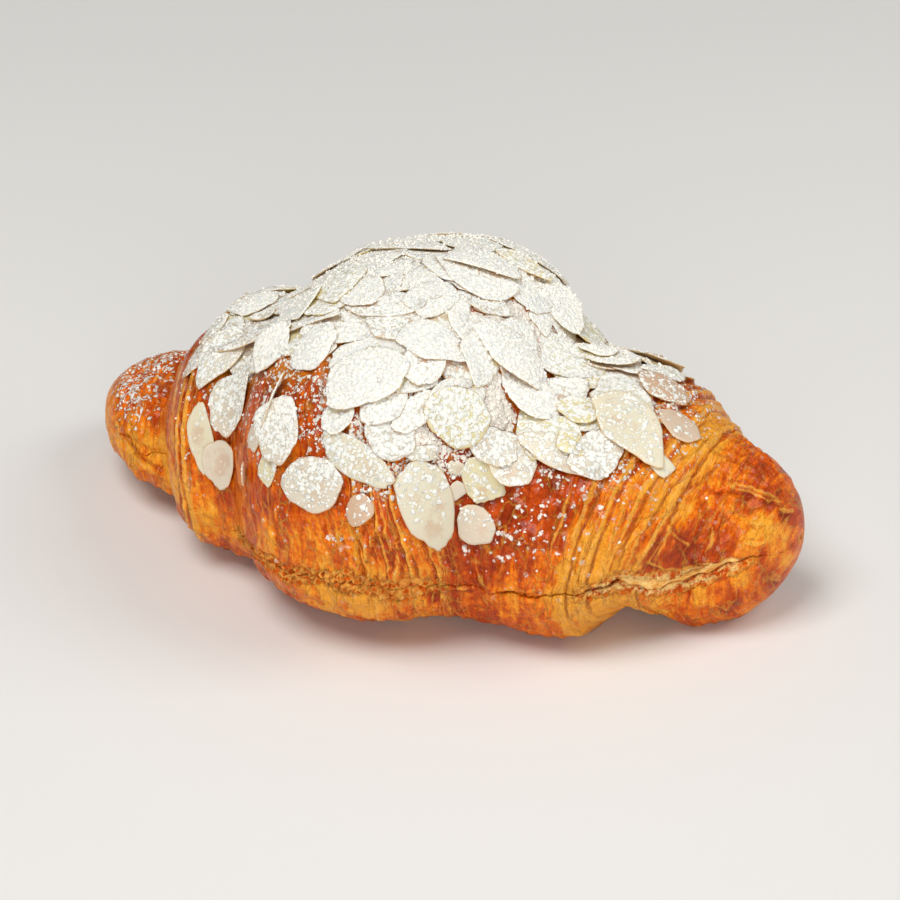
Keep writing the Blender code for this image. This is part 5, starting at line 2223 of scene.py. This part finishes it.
# ---- sugar ----
@dataclass
class SugarDust:
    """Powdered sugar, sifted straight down over crust and almonds."""
    crust: Object
    almonds: Object
    along: Span = (-0.066, -0.046, 0.055, 0.080)
    tip: float = -0.079
    tip_sugar: float = 0.34
    grain_sizes: tuple[float, float] = (0.35 * MM, 1.15 * MM)

    def open_sky(self, piece: Object, trees: Sequence[BVHTree], low: float) -> Array:
        """How open each vertex lies to what falls from above.

        Args:
            piece: The object whose vertices are tested.
            trees: Everything that can be in the way.
            low: Vertices under this height are left at 0.

        Returns:
            One number between 0 and 1 for each vertex.
        """
        places, normals = mesh_points(piece.data), read_values(piece.data.vertices, "normal", 3)
        sky = np.zeros(len(places))
        leans = ((0, 0, 1), (0.25, 0.1, 1), (-0.2, 0.18, 1), (0.02, -0.27, 1))
        rays = [Vector(ray).normalized() for ray in leans]
        for index in np.flatnonzero((normals[:, 2] > 0.02) & (places[:, 2] > low)):
            start = Vector(places[index]) + Vector(normals[index]) * 0.0006
            free = sum(all(tree.ray_cast(start, ray, 0.05)[0] is None for tree in trees) for ray in rays)
            sky[index] = (free / len(rays)) ** 0.6 * min(float(normals[index, 2]) * 2.2, 1.0)
        return sky

    def sifted(self, places: Array) -> Array:
        """How much sugar falls: most on the middle of the croissant, a little on its pointed tip.

        Args:
            places: Places on its surface.

        Returns:
            One number for each, about 0 to 1.
        """
        x, height = places[:, 0], places[:, 2]
        tip = self.tip_sugar * np.exp(-((x - self.tip) / 0.008) ** 2) * ease(height, 0.019, 0.024)
        return window(x, *self.along) * (0.42 + 0.78 * ease(height, 0.036, 0.056)) + tip

    def dust(self) -> None:
        """Write the dust attribute of crust and almonds."""
        trees = (tree_of(self.crust.data), tree_of(self.almonds.data))
        places = mesh_points(self.almonds.data)
        share = read_attribute(self.almonds.data, "sugar", 1)[:, 0]
        sky = self.open_sky(self.almonds, trees, 0.0)
        add_attribute(self.almonds.data, "sky", sky)
        held = 0.76 + 0.35 * ease(places[:, 2], 0.052, 0.068)
        add_attribute(self.almonds.data, "dust", self.sifted(places) * share * held)
        places = mesh_points(self.crust.data)
        sky = self.open_sky(self.crust, trees, 0.018)
        across = places[:, 0] + 0.47 * places[:, 1]
        heap = ease(places[:, 2], 0.040, 0.056) * (0.04 + 0.9 * ease(across, -0.024, -0.002))
        spread = 0.11 + 0.10 * ease(across, -0.045, -0.010) + heap
        spread = spread * (1.0 - 0.55 * ease(across, 0.026, 0.042))
        on_tip = 1.0 - ease(places[:, 0], -0.070, -0.062)
        add_attribute(self.crust.data, "dust", sky * self.sifted(places) * (spread + on_tip))

    def catcher(self) -> Object:
        """Crust and almonds as one mesh that carries a density.

        Returns:
            The object on which grains are scattered; it becomes the grains.
        """
        places, faces, density = [], [], []
        for piece, strength in ((self.almonds, 1.0), (self.crust, 0.8)):
            first, values = sum(len(part) for part in places), read_attribute(piece.data, "dust", 1)[:, 0]
            if piece is self.almonds:
                values = values * read_attribute(piece.data, "sky", 1)[:, 0]
            places.append(mesh_points(piece.data))
            faces += [[first + index for index in face.vertices] for face in piece.data.polygons]
            density.append(values * strength)
        mesh = bpy.data.meshes.new("sugar_grains")
        mesh.from_pydata(np.concatenate(places).tolist(), [], faces)
        add_attribute(mesh, "density", np.concatenate(density))
        return add_object("sugar_grains", mesh)

    def grains(self, density: float, seed: int) -> Object:
        """Scatter grains and small clumps.

        Args:
            density: Grains on a square metre where the dust is thickest.
            seed: Seed of the scattering.

        Returns:
            The grains as one mesh.
        """
        recipe = Recipe("scatter grains")
        names = ("Density", "Smallest", "Largest")
        dense, smallest, largest = (recipe.ask(name, 'NodeSocketFloat') for name in names)
        fixed, material = recipe.ask("Seed", 'NodeSocketInt'), recipe.ask("Material", 'NodeSocketMaterial')
        thick = recipe.attribute("density", 'FLOAT')
        wanted = recipe.node("ShaderNodeMath", {"operation": 'MULTIPLY'}, {0: thick, 1: dense})
        spots = recipe.node("GeometryNodeDistributePointsOnFaces", {"distribute_method": 'RANDOM'}, {
            "Mesh": recipe.entry.outputs["Geometry"], "Density": wanted, "Seed": fixed})
        chance = recipe.node("FunctionNodeRandomValue", {"data_type": 'FLOAT'}, {"Seed": fixed}, 1)
        rare = recipe.node("ShaderNodeMath", {"operation": 'POWER'}, {0: chance, 1: 2.2})
        size = recipe.node("ShaderNodeMapRange", {}, {"Value": rare, "To Min": smallest, "To Max": largest})
        limits = (((0.7, 0.7, 0.5), (1.3, 1.2, 0.9)), ((0.0, 0.0, 0.0), (6.28, 6.28, 6.28)))
        squash, turn = (recipe.node("FunctionNodeRandomValue", {"data_type": 'FLOAT_VECTOR'},
                                    {0: low, 1: high, "Seed": fixed}) for low, high in limits)
        scale = recipe.node("ShaderNodeVectorMath", {"operation": 'SCALE'}, {0: squash, "Scale": size})
        turn = recipe.node("FunctionNodeEulerToRotation", {}, {0: turn})
        ball = recipe.node("GeometryNodeMeshIcoSphere", {}, {"Radius": 0.5, "Subdivisions": 1})
        grains = recipe.node("GeometryNodeInstanceOnPoints", {}, {
            "Points": spots, "Instance": ball, "Rotation": turn, "Scale": scale})
        piece = self.catcher()
        finish = SugarFinish("powdered sugar").material()
        least, most = self.grain_sizes
        values = {"Density": density, "Smallest": least, "Largest": most, "Seed": seed}
        return recipe.cook(piece, grains, material, {**values, "Material": finish})


# ---- assembly ----
def corners(box: tuple[Vector, Vector]) -> list[list[float]]:
    """A box as plain lists of numbers."""
    return [list(corner) for corner in box]


def main() -> None:
    """Build every piece in order."""
    logging.basicConfig(level=logging.INFO, format="%(message)s")
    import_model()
    view = View()
    Studio(view).build()
    relief = CrustRelief(Dough(), view)
    top = Crust("top_crust", "croissant_top", "crust", side=1, relief=relief,
                finish=CrustFinish("baked crust"), rings=500, lines=170)
    base = Crust("base_crust", "croissant_base", "base_crust", side=-1, relief=relief,
                 finish=CrustFinish("baked base", bake_shift=-0.06), rings=400, lines=100)
    shells = {}
    for crust in (top, base):
        piece = shells[crust.node] = crust.build()
        crust.dress(piece)
        LOG.info("%s: %d faces", piece.name, len(piece.data.polygons))
    layer = CreamLayer(relief, CreamFinish("almond cream"))
    cream = layer.build()
    layer.dress(cream)
    LOG.info("%s: %d faces", cream.name, len(cream.data.polygons))
    heap = Heap(tree_of(shells["croissant_top"].data), view, relief.dough)
    heap.lay_rows(low=64.0, high=150.0, rows=8, columns=8, start=-0.040, end=0.052,
                  smallest=0.019, largest=0.025, highest=0.0012)
    heap.lay_seen(SEEN_LOW)
    heap.close_gaps(spacing=0.006, high=138.0, start=-0.042, end=0.054, largest=0.019, highest=0.0013)
    heap.lay_rows(low=78.0, high=142.0, rows=6, columns=8, start=-0.032, end=0.038,
                  smallest=0.018, largest=0.025, highest=0.0017)
    heap.lay_seen(SEEN_HIGH)
    heap.lay_rows(low=140.0, high=166.0, rows=2, columns=8, start=-0.040, end=0.054,
                  smallest=0.016, largest=0.023, highest=0.0018)
    almonds = heap.build()
    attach(almonds, "root")
    LOG.info("%s: %d slices, %d faces", almonds.name, len(heap.laid), len(almonds.data.polygons))
    sugar = SugarDust(shells["croissant_top"], almonds)
    sugar.dust()
    grains = sugar.grains(density=4.0e5, seed=3)
    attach(grains, "root")
    LOG.info("%s: %d faces", grains.name, len(grains.data.polygons))


if __name__ == "__main__":
    main()
